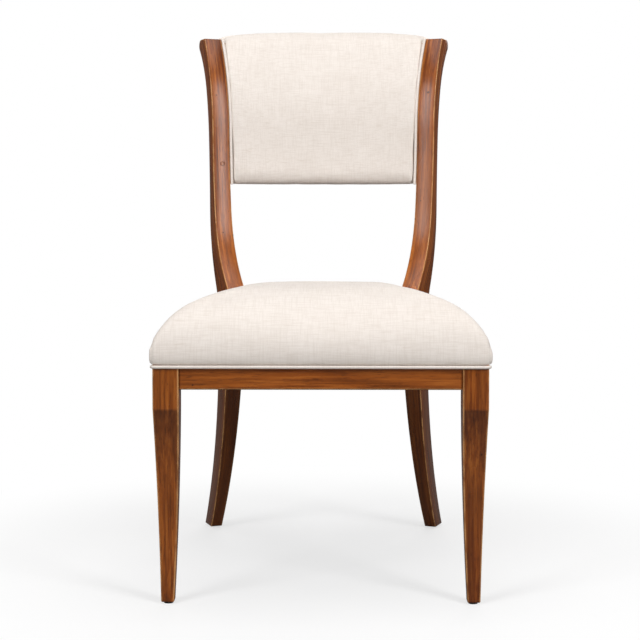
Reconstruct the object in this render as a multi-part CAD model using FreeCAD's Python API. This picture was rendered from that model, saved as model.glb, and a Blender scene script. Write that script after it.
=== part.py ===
import FreeCAD, Part
import math
import os

# Klismos dining chair with sabre legs, a tight upholstered seat and a curved upholstered back panel.
# Millimetres. +Z is up, the chair faces -Y, and +X is on the right of someone standing in front of it.
# The pieces are drawn with the floor at Z = 0 and the front faces of the front legs at Y = 0.
# At the end the whole set moves so that the middle of its box stands on the origin.

# Seat frame
seat_front_width = 508.0  # over the front legs
rail_top = 398.0
rail_depth = 69.0
rail_thickness = 22.0
rail_setback = 4.0  # show face of a rail behind the face of the leg
rail_ease = 1.5  # bevel of a rail's lower edges
tenon_thickness = 9.0
tenon_depth = 45.0
tenon_root = 6.0  # how far a tenon's block reaches back into its own rail
front_tenon_length = 22.0
side_tenon_length = 12.0
rear_tenon_length = 20.0
mortise_clearance = 0.15
mortise_end_room = 1.0

# Front legs
front_leg_side = 40.0
knee_height = 300.0
front_face_hollow = 16.0  # deepest set-back of the front face below the knee
hollow_height = 110.0
front_foot_set_back = 10.7
front_foot_side = 19.5
front_leg_belly = 0.6  # how far the back of the leg swells behind its block
belly_height = 165.0
outer_taper = 8.3
outer_taper_middle = 2.5
outer_taper_height = 148.0
inner_taper = 9.3
inner_taper_middle = 3.4
inner_taper_height = 150.0
foot_centre_shift = 2.0  # the side of the leg slopes, so the middle of its foot stands further in
edge_ease = 1.5  # bevel of the long edges of the legs
arc_run_on = 0.06  # share by which the arcs of the leg's faces run on before they are cut to length
covered_corner = 10.0  # rounding of the leg's corner where the fabric hides it

# Rear legs, each one piece with its back stile, standing in a vertical plane through the back's axis
back_axis = 51.0  # distance of the vertical axis of the back's curve behind the front legs
stile_angle = 22.0
stile_width = 32.0
rear_foot_width = 21.0
rear_taper_top = 320.0
stile_top = 915.0
front_edge_foot = 537.5  # reach of the rear leg's front edge from the axis, at the floor
front_edge_foot_lean = -31.0
rear_edge_foot = 575.5
rear_edge_foot_lean = -30.5
# Each step is a height and the lean there, in degrees back from upright.
front_edge_steps = ((262.0, -11.5), (412.0, -11.5), (462.0, 46.0), (597.0, 8.0), (745.0, 1.2), (915.0, 31.0))
rear_edge_steps = (
    (260.0, -10.0),
    (390.0, 0.0),
    (461.0, 27.0),
    (600.0, 1.0),
    (727.0, 3.5),
    (818.0, 14.5),
    (897.0, 42.5),
)

# Rear seat rail, curved with the back
rear_rail_reach = 438.0

# Corner blocks and their screws
block_depth = 40.0
block_drop = 12.0  # top of a block below the top of the rails
block_leg = 74.0  # how far a block runs along each rail
block_gap = 22.0  # its cut corner, clear of the leg
rear_block_clearance = 0.3
screw_shank = 4.0
screw_head = 8.0
screw_head_height = 2.5
screw_length = 30.0
screw_bite = 15.0  # length inside the rail
screw_clearance = 0.2
screw_place = 0.62  # where the screw stands, as a share of the block's run along the rail
driver_room = 60.0

# Seat suspension
webbing_width = 50.0
webbing_thickness = 1.5
webbing_step = 84.0
webbing_inset = 6.0  # ends of the webbing inside the faces of the rails
crosswise_first = 115.0
crosswise_step = 98.0
webbing_count = 3
webbing_ramp = 16.0

# Seat upholstery
cover_thickness = 1.5
wadding_thickness = 2.5
layer_clearance = 0.3
seat_overhang = 5.0  # cover in front of the legs
side_overhang = 8.0  # cover outside them
rear_overhang = 7.0
cover_foot = 362.5  # lower edge of the seat cover
wadding_foot = 399.0
seat_corner = 11.0  # rounding of the cushion's front corners in plan
stile_overhang = 1.3  # side of the cushion outside the stile's corner
stile_entry = 10.0  # behind that corner the cushion's side runs inside the stile, so far off its middle
foot_draw = 1.8  # lower edge of the cover, inside the widest line
foot_lean = 9.0
# The cushion's skin in section, from its foot to its crown: heights and leans back from upright.
side_levels = ((386.0, 0.0), (400.0, -6.0), (408.0, -32.0), (458.0, -60.0), (481.0, -90.0))
rear_levels = ((390.0, -2.0), (406.0, -34.0), (444.0, -64.0), (468.0, -84.0), (480.0, -88.0))
welt_diameter = 5.0
welt_clearance = 0.2
welt_corner = 5.0
stile_gap = 0.3  # between the stiles and the soft pieces

# Dust cover under the seat
dust_thickness = 0.8
dust_inset = 6.0
dust_leg_gap = 2.0

# Glides, each a plastic disc on its own nail
glide_diameter = 14.0
glide_thickness = 2.5
nail_shank = 2.5
nail_length = 16.0
nail_clearance = 0.2

# Back panel
panel_bottom = 643.0
panel_top = 930.0
panel_crown = 12.0  # how far the pad swells forward in the middle
panel_front = 0.5  # cover behind the stile's front edge, at the ends of the panel
bottom_roll_top = 655.0
bottom_roll_lean = -88.0
top_roll_foot = 912.0
back_rail_thickness = 14.0
back_rail_front = 8.0
bottom_rail_low = 647.0
bottom_rail_high = 702.0
top_rail_middle = 881.0
top_rail_length = 60.0  # along its own lean
outside_back_thickness = 1.5
outside_back_inset = 3.0
back_webbing_count = 3
back_webbing_thickness = 1.2
back_webbing_turn = 11.0  # degrees between the strips
back_webbing_end = 8.0  # ends of the strips inside the edges of the rails
back_welt_diameter = 5.4
back_welt_gap = 0.7
back_welt_front = 1.7
back_welt_drop = 2.0
back_welt_top = 916.0
back_dowel_diameter = 8.0
back_dowel_half = 17.0
dowel_clearance = 0.2
dowel_end_room = 1.0
back_dowel_edge = 14.0  # dowel axis inside the edge of its rail

# Skins that turn about an axis follow their section in straight chords of at most this turn.
chord_turn = 16.0

half_front = seat_front_width / 2.0
rail_foot = rail_top - rail_depth
half_stile = stile_width / 2.0
up = FreeCAD.Vector(0, 0, 1)


def vector(x, y, z=0.0):
    return FreeCAD.Vector(x, y, z)


def wire_of(edges):
    return Part.Wire(Part.__sortEdges__(edges))


def solid_from(edges, along):
    return Part.Face(wire_of(edges)).extrude(along)


def line(a, b):
    return Part.LineSegment(a, b).toShape()


def closed(points):
    return [line(a, b) for a, b in zip(points, points[1:] + points[:1])]


def arc(a, middle, b):
    return Part.Arc(a, middle, b).toShape()


def polygon_prism(points, along):
    return Part.Face(Part.makePolygon(list(points) + [points[0]])).extrude(along)


def rod(radius, length, start, direction, sides=8, inside=True):
    """A bar with flats; its corners lie on the radius, or its flats do where it is a hole's room."""
    across = radius if inside else radius / math.cos(math.pi / sides)
    ahead = vector(direction.x, direction.y, direction.z).normalize()
    first = ahead.cross(up if abs(ahead.z) < 0.9 else vector(1, 0)).normalize()
    second = ahead.cross(first)
    angles = [2.0 * math.pi * (number + 0.5) / sides for number in range(sides)]
    corners = [start + first * (across * math.cos(a)) + second * (across * math.sin(a)) for a in angles]
    return polygon_prism(corners, ahead * length)


def mirrored(shape):
    return shape.mirror(vector(0, 0), vector(1, 0))


def both_sides(shape):
    return [shape, mirrored(shape)]


# Swept edges of the stiles: chains of tangent arcs, in reach from the back's axis and height
def swept_spans(z, reach, lean, steps):
    spans = []
    for next_z, next_lean in steps:
        next_reach = reach + (next_z - z) * math.tan(math.radians((lean + next_lean) / 2.0))
        spans.append((z, reach, lean, next_z, next_reach, next_lean))
        z, reach, lean = next_z, next_reach, next_lean
    return spans


def span_at(spans, z):
    for span in spans:
        if z <= span[3]:
            return span
    return spans[-1]


def lean_at(spans, z):
    z_low, _, lean_low, z_high, _, lean_high = span_at(spans, z)
    share = (z - z_low) / (z_high - z_low)
    low = math.sin(math.radians(lean_low))
    high = math.sin(math.radians(lean_high))
    return math.degrees(math.asin(low + share * (high - low)))


def reach_at(spans, z):
    z_low, reach_low, lean_low, _, _, _ = span_at(spans, z)
    return reach_low + (z - z_low) * math.tan(math.radians((lean_low + lean_at(spans, z)) / 2.0))


def in_plane(reach, z):
    """A point of the upright plane through the back's axis, before the plane turns to its place."""
    return vector(0, back_axis + reach, z)


def swept_edges(spans, z_low, z_high, shift=0.0):
    """The edges between two heights, moved back by shift."""
    heights = [z_low] + [s[3] for s in spans if z_low < s[3] < z_high] + [z_high]
    edges = []
    for low, high in zip(heights, heights[1:]):
        middle = (low + high) / 2.0
        start = in_plane(reach_at(spans, low) + shift, low)
        end = in_plane(reach_at(spans, high) + shift, high)
        through = in_plane(reach_at(spans, middle) + shift, middle)
        if through.distanceToLine(start, end - start) < 0.001:
            edges.append(line(start, end))
        else:
            edges.append(arc(start, through, end))
    return edges


def swept_chords(spans):
    """Corners of a chain of straight chords along the spans, for skins that turn about an axis."""
    corners = [in_plane(spans[0][1], spans[0][0])]
    for z, reach, lean, z_end, _, lean_end in spans:
        parts = max(1, math.ceil(abs(lean_end - lean) / chord_turn))
        rise = math.sin(math.radians(lean_end)) - math.sin(math.radians(lean))
        for number in range(1, parts + 1):
            there = lean + (lean_end - lean) * number / parts
            share = 1.0
            if number < parts:
                share = (math.sin(math.radians(there)) - math.sin(math.radians(lean))) / rise
            height = share * (z_end - z)
            reach_there = reach + height * math.tan(math.radians((lean + there) / 2.0))
            corners.append(in_plane(reach_there, z + height))
    return corners


front_edge = swept_spans(0.0, front_edge_foot, front_edge_foot_lean, front_edge_steps)
rear_edge = swept_spans(0.0, rear_edge_foot, rear_edge_foot_lean, rear_edge_steps)


def turned(shape, angle=stile_angle):
    """Turn a shape about the back's axis, from the plane X = 0 towards the right."""
    return shape.rotated(vector(0, back_axis), up, -angle)


def revolved(edges, angle):
    """The face inside the edges, turned about the back's axis from -angle to +angle."""
    face = turned(Part.Face(wire_of(edges)), angle)
    return face.revolve(vector(0, back_axis), up, 2.0 * angle)


# Side line of the seat: from the front leg's outer corner to the stile's outer front corner
joint_reach = reach_at(front_edge, rail_top)
turn = math.radians(stile_angle)
stile_corner = vector(
    joint_reach * math.sin(turn) + half_stile * math.cos(turn),
    back_axis + joint_reach * math.cos(turn) - half_stile * math.sin(turn),
)
side_angle = math.degrees(math.atan2(half_front - stile_corner.x, stile_corner.y))
side_length = math.hypot(half_front - stile_corner.x, stile_corner.y)


def on_side(shape):
    """Move a shape drawn with the seat's right side line along +Y, outwards +X, to its place."""
    return shape.rotated(vector(0, 0), up, side_angle).translated(vector(half_front, 0))


def side_point(out, along, z=0.0):
    bend = math.radians(side_angle)
    x = half_front + out * math.cos(bend) - along * math.sin(bend)
    y = out * math.sin(bend) + along * math.cos(bend)
    return vector(x, y, z)


def block_between(low, high):
    size = high - low
    return Part.makeBox(size.x, size.y, size.z, low)


def beyond_side(out):
    """Everything outwards of a line beside the seat's right side line."""
    low, high = vector(out, -half_front, 0), vector(half_front, 2.0 * side_length, stile_top)
    return on_side(block_between(low, high))


def mortise(low, high, end):
    """The tenon's room: clearance round it, and more in front of its end."""
    slack = vector(mortise_clearance, mortise_clearance, mortise_clearance)
    beyond = end * mortise_end_room
    far_low = vector(min(beyond.x, 0), min(beyond.y, 0))
    far_high = vector(max(beyond.x, 0), max(beyond.y, 0))
    return block_between(low - slack + far_low, high + slack + far_high)


tenon_low = rail_foot + (rail_depth - tenon_depth) / 2.0
tenon_high = tenon_low + tenon_depth

# Rear leg and stile
def stile_blank(grow=0.0):
    """The stile's profile at full width, in the plane X = 0, larger all round by grow."""
    low = glide_thickness
    rear_end = rear_edge[-1][3]
    rear_lean = math.radians(rear_edge[-1][5])
    top = stile_top + grow
    roll = (top - rear_end) / (1.0 + math.sin(rear_lean))
    rear_start = in_plane(reach_at(rear_edge, rear_end) + grow, rear_end)
    centre = rear_start + vector(0, -roll * math.cos(rear_lean), roll * math.sin(rear_lean))
    half_turn = (math.pi / 2.0 - rear_lean) / 2.0
    crest_lean = math.pi / 2.0 - half_turn
    roll_middle = centre + vector(0, roll * math.cos(crest_lean), roll * math.sin(crest_lean))
    roll_top = centre + vector(0, 0, roll)
    front = swept_edges(front_edge, low, top, -grow)
    rear = swept_edges(rear_edge, low, rear_end, grow)
    foot_front, foot_rear = reach_at(front_edge, low) - grow, reach_at(rear_edge, low) + grow
    foot = line(in_plane(foot_front, low), in_plane(foot_rear, low))
    front_top = front[-1].Vertexes[-1].Point
    edges = front + rear + [foot, line(front_top, roll_top), arc(roll_top, roll_middle, rear_start)]
    width = stile_width + 2.0 * grow
    return solid_from(edges, vector(width, 0, 0)).translated(vector(-width / 2.0, 0, 0))


def width_prism():
    """The leg seen from the front: full width down to the taper, then narrowing to the foot."""
    half_foot = rear_foot_width / 2.0
    reach = rear_edge_foot + back_axis + stile_width
    corners = [
        vector(half_foot, 0, 0),
        vector(half_stile, 0, rear_taper_top),
        vector(half_stile, 0, stile_top),
        vector(-half_stile, 0, stile_top),
        vector(-half_stile, 0, rear_taper_top),
        vector(-half_foot, 0, 0),
    ]
    return polygon_prism(corners, vector(0, reach, 0))


def long_side_edges(solid):
    """Edges of the faces that look sideways, without the foot and the line where the taper starts."""
    seen = {}
    for face in solid.Faces:
        u_min, u_max, v_min, v_max = face.ParameterRange
        normal = face.normalAt((u_min + u_max) / 2.0, (v_min + v_max) / 2.0)
        if abs(normal.x) < 0.9:
            continue
        for edge in face.Edges:
            seen.setdefault(edge.hashCode(), []).append(edge)
    lone = [edges[0] for edges in seen.values() if len(edges) == 1]
    return [edge for edge in lone if edge.BoundBox.ZMax > 2.0 * glide_thickness]


def rear_tenon_corners():
    middle = rear_rail_reach + rail_thickness / 2.0 + back_axis
    low = vector(-half_stile - tenon_root, middle - tenon_thickness / 2.0, tenon_low)
    high = vector(-half_stile + rear_tenon_length, middle + tenon_thickness / 2.0, tenon_high)
    return low, high


side_tenon_outer = -rail_setback - (rail_thickness - tenon_thickness) / 2.0


def side_tenon_corners(start, end):
    low = vector(side_tenon_outer - tenon_thickness, start, tenon_low)
    high = vector(side_tenon_outer, end, tenon_high)
    return low, high


def front_end_tenon():
    """Tenon of the side rail in the front leg, in the side's own frame."""
    face = front_leg_side * math.cos(math.radians(side_angle))
    return side_tenon_corners(face - side_tenon_length, face + 2.0 * tenon_root)


def rear_end_tenon():
    """Tenon of the side rail in the rear leg, in the side's own frame."""
    return side_tenon_corners(side_length - 2.0 * tenon_root, side_length + side_tenon_length)


def back_dowel_places():
    """Reach and height of each dowel between the back rails and a stile."""
    places = []
    for section in (bottom_rail_section(), top_rail_section()):
        front_low, front_high, back_high, back_low = section
        low, high = (front_low + back_low) * 0.5, (front_high + back_high) * 0.5
        along = (high - low).normalize() * back_dowel_edge
        places += [low + along, high - along]
    return places


def back_dowels(grow=0.0, room=0.0):
    """Fluted dowels, or with grow and room their holes."""
    half = back_dowel_half + room
    radius = back_dowel_diameter / 2.0 + grow
    starts = [place + vector(-half_stile - half, 0, 0) for place in back_dowel_places()]
    return [turned(rod(radius, 2.0 * half, start, vector(1, 0, 0), 12, grow == 0.0)) for start in starts]


def cut_all(solid, tools):
    for tool in tools:
        solid = solid.cut(tool)
    return solid


def glide_nail_hole(foot):
    length = nail_length + nail_clearance
    return rod(nail_shank / 2.0 + nail_clearance, length, foot, up, inside=False)


rear_foot_reach = (reach_at(front_edge, glide_thickness) + reach_at(rear_edge, glide_thickness)) / 2.0
rear_foot = turned(Part.Vertex(in_plane(rear_foot_reach, 0.0))).Point


def rear_leg():
    leg = stile_blank().common(width_prism())
    leg = leg.makeChamfer(edge_ease, long_side_edges(leg))
    leg = leg.cut(mortise(*rear_tenon_corners(), vector(1, 0)))
    leg = turned(leg)
    leg = leg.cut(on_side(mortise(*rear_end_tenon(), vector(0, 1))))
    leg = cut_all(leg, back_dowels(dowel_clearance, dowel_end_room))
    return leg.cut(glide_nail_hole(rear_foot))


stile_room = turned(stile_blank(stile_gap))


def clear_of_stiles(solid):
    return cut_all(solid, both_sides(stile_room))


def inner_half_space(offset):
    """Everything outwards of the stile's inner face, moved inwards by offset."""
    far = 2.0 * half_front
    low = vector(-half_stile - offset, back_axis - far, 0)
    return turned(block_between(low, vector(far, back_axis + 2.0 * far, 2.0 * stile_top)))


def between_stiles(solid, offset=0.0):
    return cut_all(solid, both_sides(inner_half_space(offset)))


# Front leg: a square block over a foot whose four faces are hollowed or tapered in arcs
def longer(edge):
    """The same arc, running on a little past both ends."""
    first, last = edge.ParameterRange
    more = (last - first) * arc_run_on
    return edge.Curve.toShape(first - more, last + more)


def beside(edge, far_x, depth):
    """All that lies between an arc drawn in the plane Y = 0 and the line X = far_x, depth thick."""
    low, high = sorted((v.Point for v in edge.Vertexes), key=lambda p: p.z)
    far_low, far_high = vector(far_x, 0, low.z), vector(far_x, 0, high.z)
    outline = [edge, line(low, far_low), line(far_low, far_high), line(far_high, high)]
    return solid_from(outline, vector(0, depth, 0))


def below_knee():
    """The leg under its block, with its long edges bevelled."""
    side, knee = front_leg_side, vector(0, 0, knee_height)
    front = longer(arc(knee, vector(0, front_face_hollow, hollow_height), vector(0, front_foot_set_back, 0)))
    foot_back = front_foot_set_back + front_foot_side
    belly = side + front_leg_belly
    back = longer(arc(vector(0, foot_back, 0), vector(0, belly, belly_height), knee + vector(0, side, 0)))
    front_low, front_high = sorted((v.Point for v in front.Vertexes), key=lambda p: p.z)
    back_low, back_high = sorted((v.Point for v in back.Vertexes), key=lambda p: p.z)
    profile = [front, back, line(front_low, back_low), line(front_high, back_high)]
    leg = solid_from(profile, vector(2.0 * side, 0, 0)).translated(vector(half_front - 1.5 * side, 0, 0))
    outer = arc(knee, vector(-outer_taper_middle, 0, outer_taper_height), vector(-outer_taper, 0, 0))
    outer = on_side(beside(longer(outer), -2.0 * side, 3.0 * side).translated(vector(0, -side, 0)))
    inner = arc(knee, vector(inner_taper_middle, 0, inner_taper_height), vector(inner_taper, 0, 0))
    inner = beside(longer(inner), 2.0 * side, 3.0 * side).translated(vector(half_front - side, -side, 0))
    leg = leg.common(outer).common(inner)
    leg = leg.makeChamfer(edge_ease, [edge for edge in leg.Edges if rises(edge)])
    low, high = vector(0, -side, glide_thickness), vector(2.0 * half_front, 2.0 * side, knee_height)
    return leg.common(block_between(low, high))


def rises(edge):
    return edge.BoundBox.ZLength > edge.BoundBox.DiagonalLength * 0.8


def front_leg():
    side, top = front_leg_side, rail_top
    inner_face = half_front - side
    slope = math.tan(math.radians(side_angle))
    plan = [
        vector(inner_face, 0, knee_height),
        vector(half_front, 0, knee_height),
        vector(half_front - side * slope, side, knee_height),
        vector(inner_face, side, knee_height),
    ]
    block = polygon_prism(plan, vector(0, 0, top - knee_height))
    block = block.makeChamfer(edge_ease, [edge for edge in block.Edges if rises(edge)])
    leg = block.fuse(below_knee())

    # Under the fabric the outer corner is rounded off, so that the cover lies smooth over it.
    corner = side_point(-covered_corner, 0)
    reach = covered_corner * math.tan(math.radians(side_angle))
    centre = vector(corner.x, covered_corner) - vector(reach, 0)
    sliver = Part.makeBox(side, 2.0 * covered_corner, side, vector(centre.x, -covered_corner, cover_foot))
    core = Part.makeCylinder(covered_corner, side, vector(centre.x, centre.y, cover_foot), up)
    leg = leg.cut(sliver.cut(core))

    leg = leg.cut(mortise(*front_tenon_corners(), vector(1, 0)))
    leg = leg.cut(on_side(mortise(*front_end_tenon(), vector(0, -1))))
    return leg.cut(glide_nail_hole(front_foot))


def front_tenon_corners():
    start = rail_setback + (rail_thickness - tenon_thickness) / 2.0
    face = half_front - front_leg_side
    low = vector(face - tenon_root, start, tenon_low)
    high = vector(face + front_tenon_length, start + tenon_thickness, tenon_high)
    return low, high


front_foot = vector(
    half_front - (outer_taper + front_leg_side - inner_taper) / 2.0 - foot_centre_shift,
    front_foot_set_back + front_foot_side / 2.0,
)


# Rails
def eased_below(rail):
    """Bevel the long lower edges of a rail."""
    lower = []
    for edge in rail.Edges:
        box = edge.BoundBox
        if box.ZMax < rail_foot + rail_ease and box.DiagonalLength > 3.0 * rail_thickness:
            lower.append(edge)
    return rail.makeChamfer(rail_ease, lower)


def front_rail():
    half = half_front - front_leg_side
    low, high = vector(-half, rail_setback, rail_foot), vector(half, front_rail_inner, rail_top)
    rail = eased_below(block_between(low, high))
    right_tenon = block_between(*front_tenon_corners())
    for piece in both_sides(right_tenon):
        rail = rail.fuse(piece)
    return rail.cut(screw_pilots_front()).removeSplitter()


def side_rail():
    outer = -rail_setback
    board = block_between(
        vector(outer - rail_thickness, 0, rail_foot), vector(outer, side_length + front_leg_side, rail_top)
    )
    board = on_side(eased_below(board))
    leg_low, leg_high = vector(0, -front_leg_side, 0), vector(2.0 * half_front, front_leg_side, stile_top)
    board = board.cut(block_between(leg_low, leg_high))
    board = board.cut(behind_stile_face())
    board = board.fuse(on_side(block_between(*front_end_tenon())))
    board = board.fuse(on_side(block_between(*rear_end_tenon())))
    return board.cut(screw_pilots_side()).removeSplitter()


def behind_stile_face():
    """All that lies behind the flat stretch of the stile's front edge, where the side rail butts."""
    low_z, high_z = front_edge_steps[0][0], front_edge_steps[1][0]
    far = rear_edge_foot
    corners = [
        in_plane(reach_at(front_edge, low_z), low_z),
        in_plane(reach_at(front_edge, high_z), high_z),
        in_plane(far, high_z),
        in_plane(far, low_z),
    ]
    return turned(polygon_prism(corners, vector(2.0 * far, 0, 0)).translated(vector(-far, 0, 0)))


def rear_rail():
    inner, outer = rear_rail_reach, rear_rail_reach + rail_thickness
    foot = [in_plane(inner, rail_foot), in_plane(outer, rail_foot)]
    top = [in_plane(outer, rail_top), in_plane(inner, rail_top)]
    rail = eased_below(between_stiles(revolved(closed(foot + top), stile_angle)))
    right_tenon = turned(block_between(*rear_tenon_corners()))
    for piece in both_sides(right_tenon):
        rail = rail.fuse(piece)
    return rail.cut(screw_pilots_rear()).removeSplitter()


# Corner blocks: each is glued and screwed to the two rails that meet at its corner
block_top = rail_top - block_drop
block_middle = block_top - block_depth / 2.0
rail_inner = -rail_setback - rail_thickness
front_rail_inner = rail_setback + rail_thickness


def meeting(point, direction, other, other_direction):
    """Where two lines of the plan cross."""
    cross = direction.x * other_direction.y - direction.y * other_direction.x
    gap = other - point
    return point + direction * ((gap.x * other_direction.y - gap.y * other_direction.x) / cross)


side_direction = side_point(0, 1) - side_point(0, 0)
side_normal = side_point(1, 0) - side_point(0, 0)
front_corner = meeting(side_point(rail_inner, 0), side_direction, vector(0, front_rail_inner), vector(1, 0))


def rear_rail_point(angle):
    """A point of the rear rail's inner face in the plan."""
    turn_there = math.radians(angle)
    reach = rear_rail_reach - rear_block_clearance
    return vector(reach * math.sin(turn_there), back_axis + reach * math.cos(turn_there))


rear_block_start = side_length - front_leg_side / 4.0
rear_block_angle = stile_angle - math.degrees((half_stile + block_gap / 2.0) / rear_rail_reach)
rear_block_turn = math.degrees(block_leg / rear_rail_reach)


def front_block_plan():
    along_front = vector(-1, 0)
    return [
        front_corner + along_front * block_gap,
        front_corner + along_front * block_leg,
        front_corner + side_direction * block_leg,
        front_corner + side_direction * block_gap,
    ]


def rear_block_plan():
    return [
        side_point(rail_inner, rear_block_start - block_leg),
        side_point(rail_inner, rear_block_start - block_gap / 2.0),
        rear_rail_point(rear_block_angle),
        rear_rail_point(rear_block_angle - rear_block_turn),
    ]


def raised(points, z):
    return [vector(p.x, p.y, z) for p in points]


def front_screws():
    """Point on the rail's inner face and driving direction of each screw of the front block."""
    start, run = block_gap, block_leg - block_gap
    place = start + run * screw_place
    z = vector(0, 0, block_middle)
    into_front = (front_corner + vector(-1, 0) * place + z, vector(0, -1))
    into_side = (front_corner + side_direction * place + z, side_normal)
    return into_front, into_side


def rear_screws():
    z = vector(0, 0, block_middle)
    run = block_leg - block_gap / 2.0
    along = rear_block_start - block_gap / 2.0 - run * screw_place
    into_side = (side_point(rail_inner, along) + z, side_normal)
    angle = rear_block_angle - rear_block_turn * screw_place
    on_rail = rear_rail_point(angle)
    outwards = (on_rail - vector(0, back_axis)).normalize()
    return (on_rail + z, outwards), into_side


def screw_solid(place, direction):
    """A flat-headed screw whose bite is inside the rail."""
    head = place - direction * (screw_length - screw_bite)
    shank = rod(screw_shank / 2.0, screw_length, head, direction)
    return shank.fuse(rod(screw_head / 2.0, screw_head_height, head, direction)).removeSplitter()


def screw_hole(place, direction):
    """Room for the screw's shank and head, and for the driver behind the head."""
    end = place + direction * (screw_bite + screw_clearance)
    back = direction * -1.0
    shank = rod(screw_shank / 2.0 + screw_clearance, screw_length, end, back, inside=False)
    seat = place + back * (screw_length - screw_bite - screw_head_height - screw_clearance)
    return shank.fuse(rod(screw_head / 2.0 + screw_clearance, driver_room, seat, back, inside=False))


def corner_block(plan, screws):
    block = polygon_prism(raised(plan, block_top - block_depth), vector(0, 0, block_depth))
    inside = rear_rail_reach - rear_block_clearance
    block = block.common(Part.makeCylinder(inside, stile_top, vector(0, back_axis), up))
    block = block.cut(beyond_side(rail_inner)).cut(stile_room)
    return cut_all(block, [screw_hole(*screw) for screw in screws])


def screw_pilots_front():
    return Part.makeCompound(both_sides(screw_hole(*front_screws()[0])))


def screw_pilots_side():
    return Part.makeCompound([screw_hole(*front_screws()[1]), screw_hole(*rear_screws()[1])])


def screw_pilots_rear():
    return Part.makeCompound(both_sides(screw_hole(*rear_screws()[0])))


def corner_block_screws():
    right = [screw_solid(*screw) for screw in front_screws() + rear_screws()]
    return Part.makeCompound([piece for screw in right for piece in both_sides(screw)])


# Seat suspension
def lengthwise_webbing():
    strips = []
    inside = Part.makeCylinder(
        rear_rail_reach + rail_thickness - webbing_inset, stile_top, vector(0, back_axis), up
    )
    start = rail_setback + webbing_inset
    for number in range(webbing_count):
        x = (number - (webbing_count - 1) / 2.0) * webbing_step
        low = vector(x - webbing_width / 2.0, start, rail_top)
        high = vector(x + webbing_width / 2.0, back_axis + rear_edge_foot, rail_top + webbing_thickness)
        strips.append(block_between(low, high).common(inside))
    return Part.makeCompound(strips)


def crosswise_webbing():
    """Strips that pass over the lengthwise ones and come down to the side rails."""
    over = (webbing_count - 1) / 2.0 * webbing_step + webbing_width / 2.0 + webbing_thickness
    ramp = over + webbing_ramp
    low, mid, high = rail_top, rail_top + webbing_thickness, rail_top + 2.0 * webbing_thickness
    under_side = [vector(-half_front, 0, low), vector(-ramp, 0, low), vector(-over, 0, mid)]
    over_side = [vector(-over, 0, high), vector(-ramp, 0, mid), vector(-half_front, 0, mid)]
    flipped = [vector(-p.x, p.y, p.z) for p in under_side[::-1]]
    over_flipped = [vector(-p.x, p.y, p.z) for p in over_side[::-1]]
    profile = under_side + flipped + over_flipped + over_side
    outside = beyond_side(-rail_setback - webbing_inset)
    strips = []
    for number in range(webbing_count):
        y = crosswise_first + number * crosswise_step
        strip = polygon_prism(profile, vector(0, webbing_width, 0)).translated(vector(0, y, 0))
        strips.append(cut_all(strip, both_sides(outside)))
    return Part.makeCompound(strips)


# Seat cushion: its outline in plan is a trapezoid with round corners and a rear edge curved with the back
def rounded_corner(corner, before, after, radius):
    """Start, middle and end of the arc that rounds a corner; before and after lie on its two sides."""
    back = (before - corner).normalize()
    ahead = (after - corner).normalize()
    half = back.getAngle(ahead) / 2.0
    run = radius / math.tan(half)
    inwards = (back + ahead).normalize()
    centre = corner + inwards * (radius / math.sin(half))
    return corner + back * run, centre - inwards * radius, corner + ahead * run


rear_reach = rear_rail_reach + rail_thickness + rear_overhang
cushion_corner = vector(half_front + side_overhang, -seat_overhang)
cushion_side = stile_corner + vector(stile_overhang, 0) - cushion_corner
cushion_angle = math.degrees(math.atan2(-cushion_side.x, cushion_side.y))


def inside_chain(start, steps, depth):
    """The same chain of tangent arcs, moved square to itself by depth."""
    z, reach, lean = start
    turn_there = math.radians(lean)
    first = (z + depth * math.sin(turn_there), reach - depth * math.cos(turn_there), lean)
    return first, [(step_z + depth * math.sin(math.radians(step)), step) for step_z, step in steps]


def skin_section(levels, depth, foot, far, chords=False):
    """Half a section through the cushion: outwards is +X, from the skin back to far inside."""
    start, steps = inside_chain((cover_foot, -foot_draw, foot_lean), levels, depth)
    spans = swept_spans(*start, steps)
    skin = swept_edges(spans, start[0], steps[-1][0])
    if chords:
        corners = swept_chords(spans)
        skin = [line(a, b) for a, b in zip(corners, corners[1:])]
    skin = [edge.translated(vector(0, -back_axis)).rotated(vector(0, 0), up, -90.0) for edge in skin]
    low = vector(start[1], 0, start[0])
    top = max((v.Point for v in skin[-1].Vertexes), key=lambda p: p.z)
    corners = [top, vector(-far, 0, top.z), vector(-far, 0, foot), vector(low.x, 0, foot)]
    if low.z > foot:
        corners.append(low)
    return skin + [line(a, b) for a, b in zip(corners, corners[1:])]


def corner_sliver(depth):
    """What is trimmed off the cushion's front corner to make it round in plan."""
    other_corner = vector(-cushion_corner.x, cushion_corner.y)
    a, _, b = rounded_corner(cushion_corner, other_corner, stile_corner, seat_corner)
    centre = meeting(a, vector(0, 1), b, vector(b.y - stile_corner.y, stile_corner.x - b.x))
    out = cushion_corner + (cushion_corner - centre)
    plan = [a, a + (a - centre), out, b + (b - centre), b, centre]
    outside = polygon_prism(plan, vector(0, 0, stile_top))
    return outside.cut(Part.makeCylinder(seat_corner - depth, stile_top, centre, up))


def placed_flank(section, angle, start):
    """The section run along a line of the plan, to its left."""
    run = 6.0 * half_front
    flank = solid_from(section, vector(0, run, 0)).translated(vector(0, -run / 2.0, 0))
    return flank.rotated(vector(0, 0), up, angle).translated(start)


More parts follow.
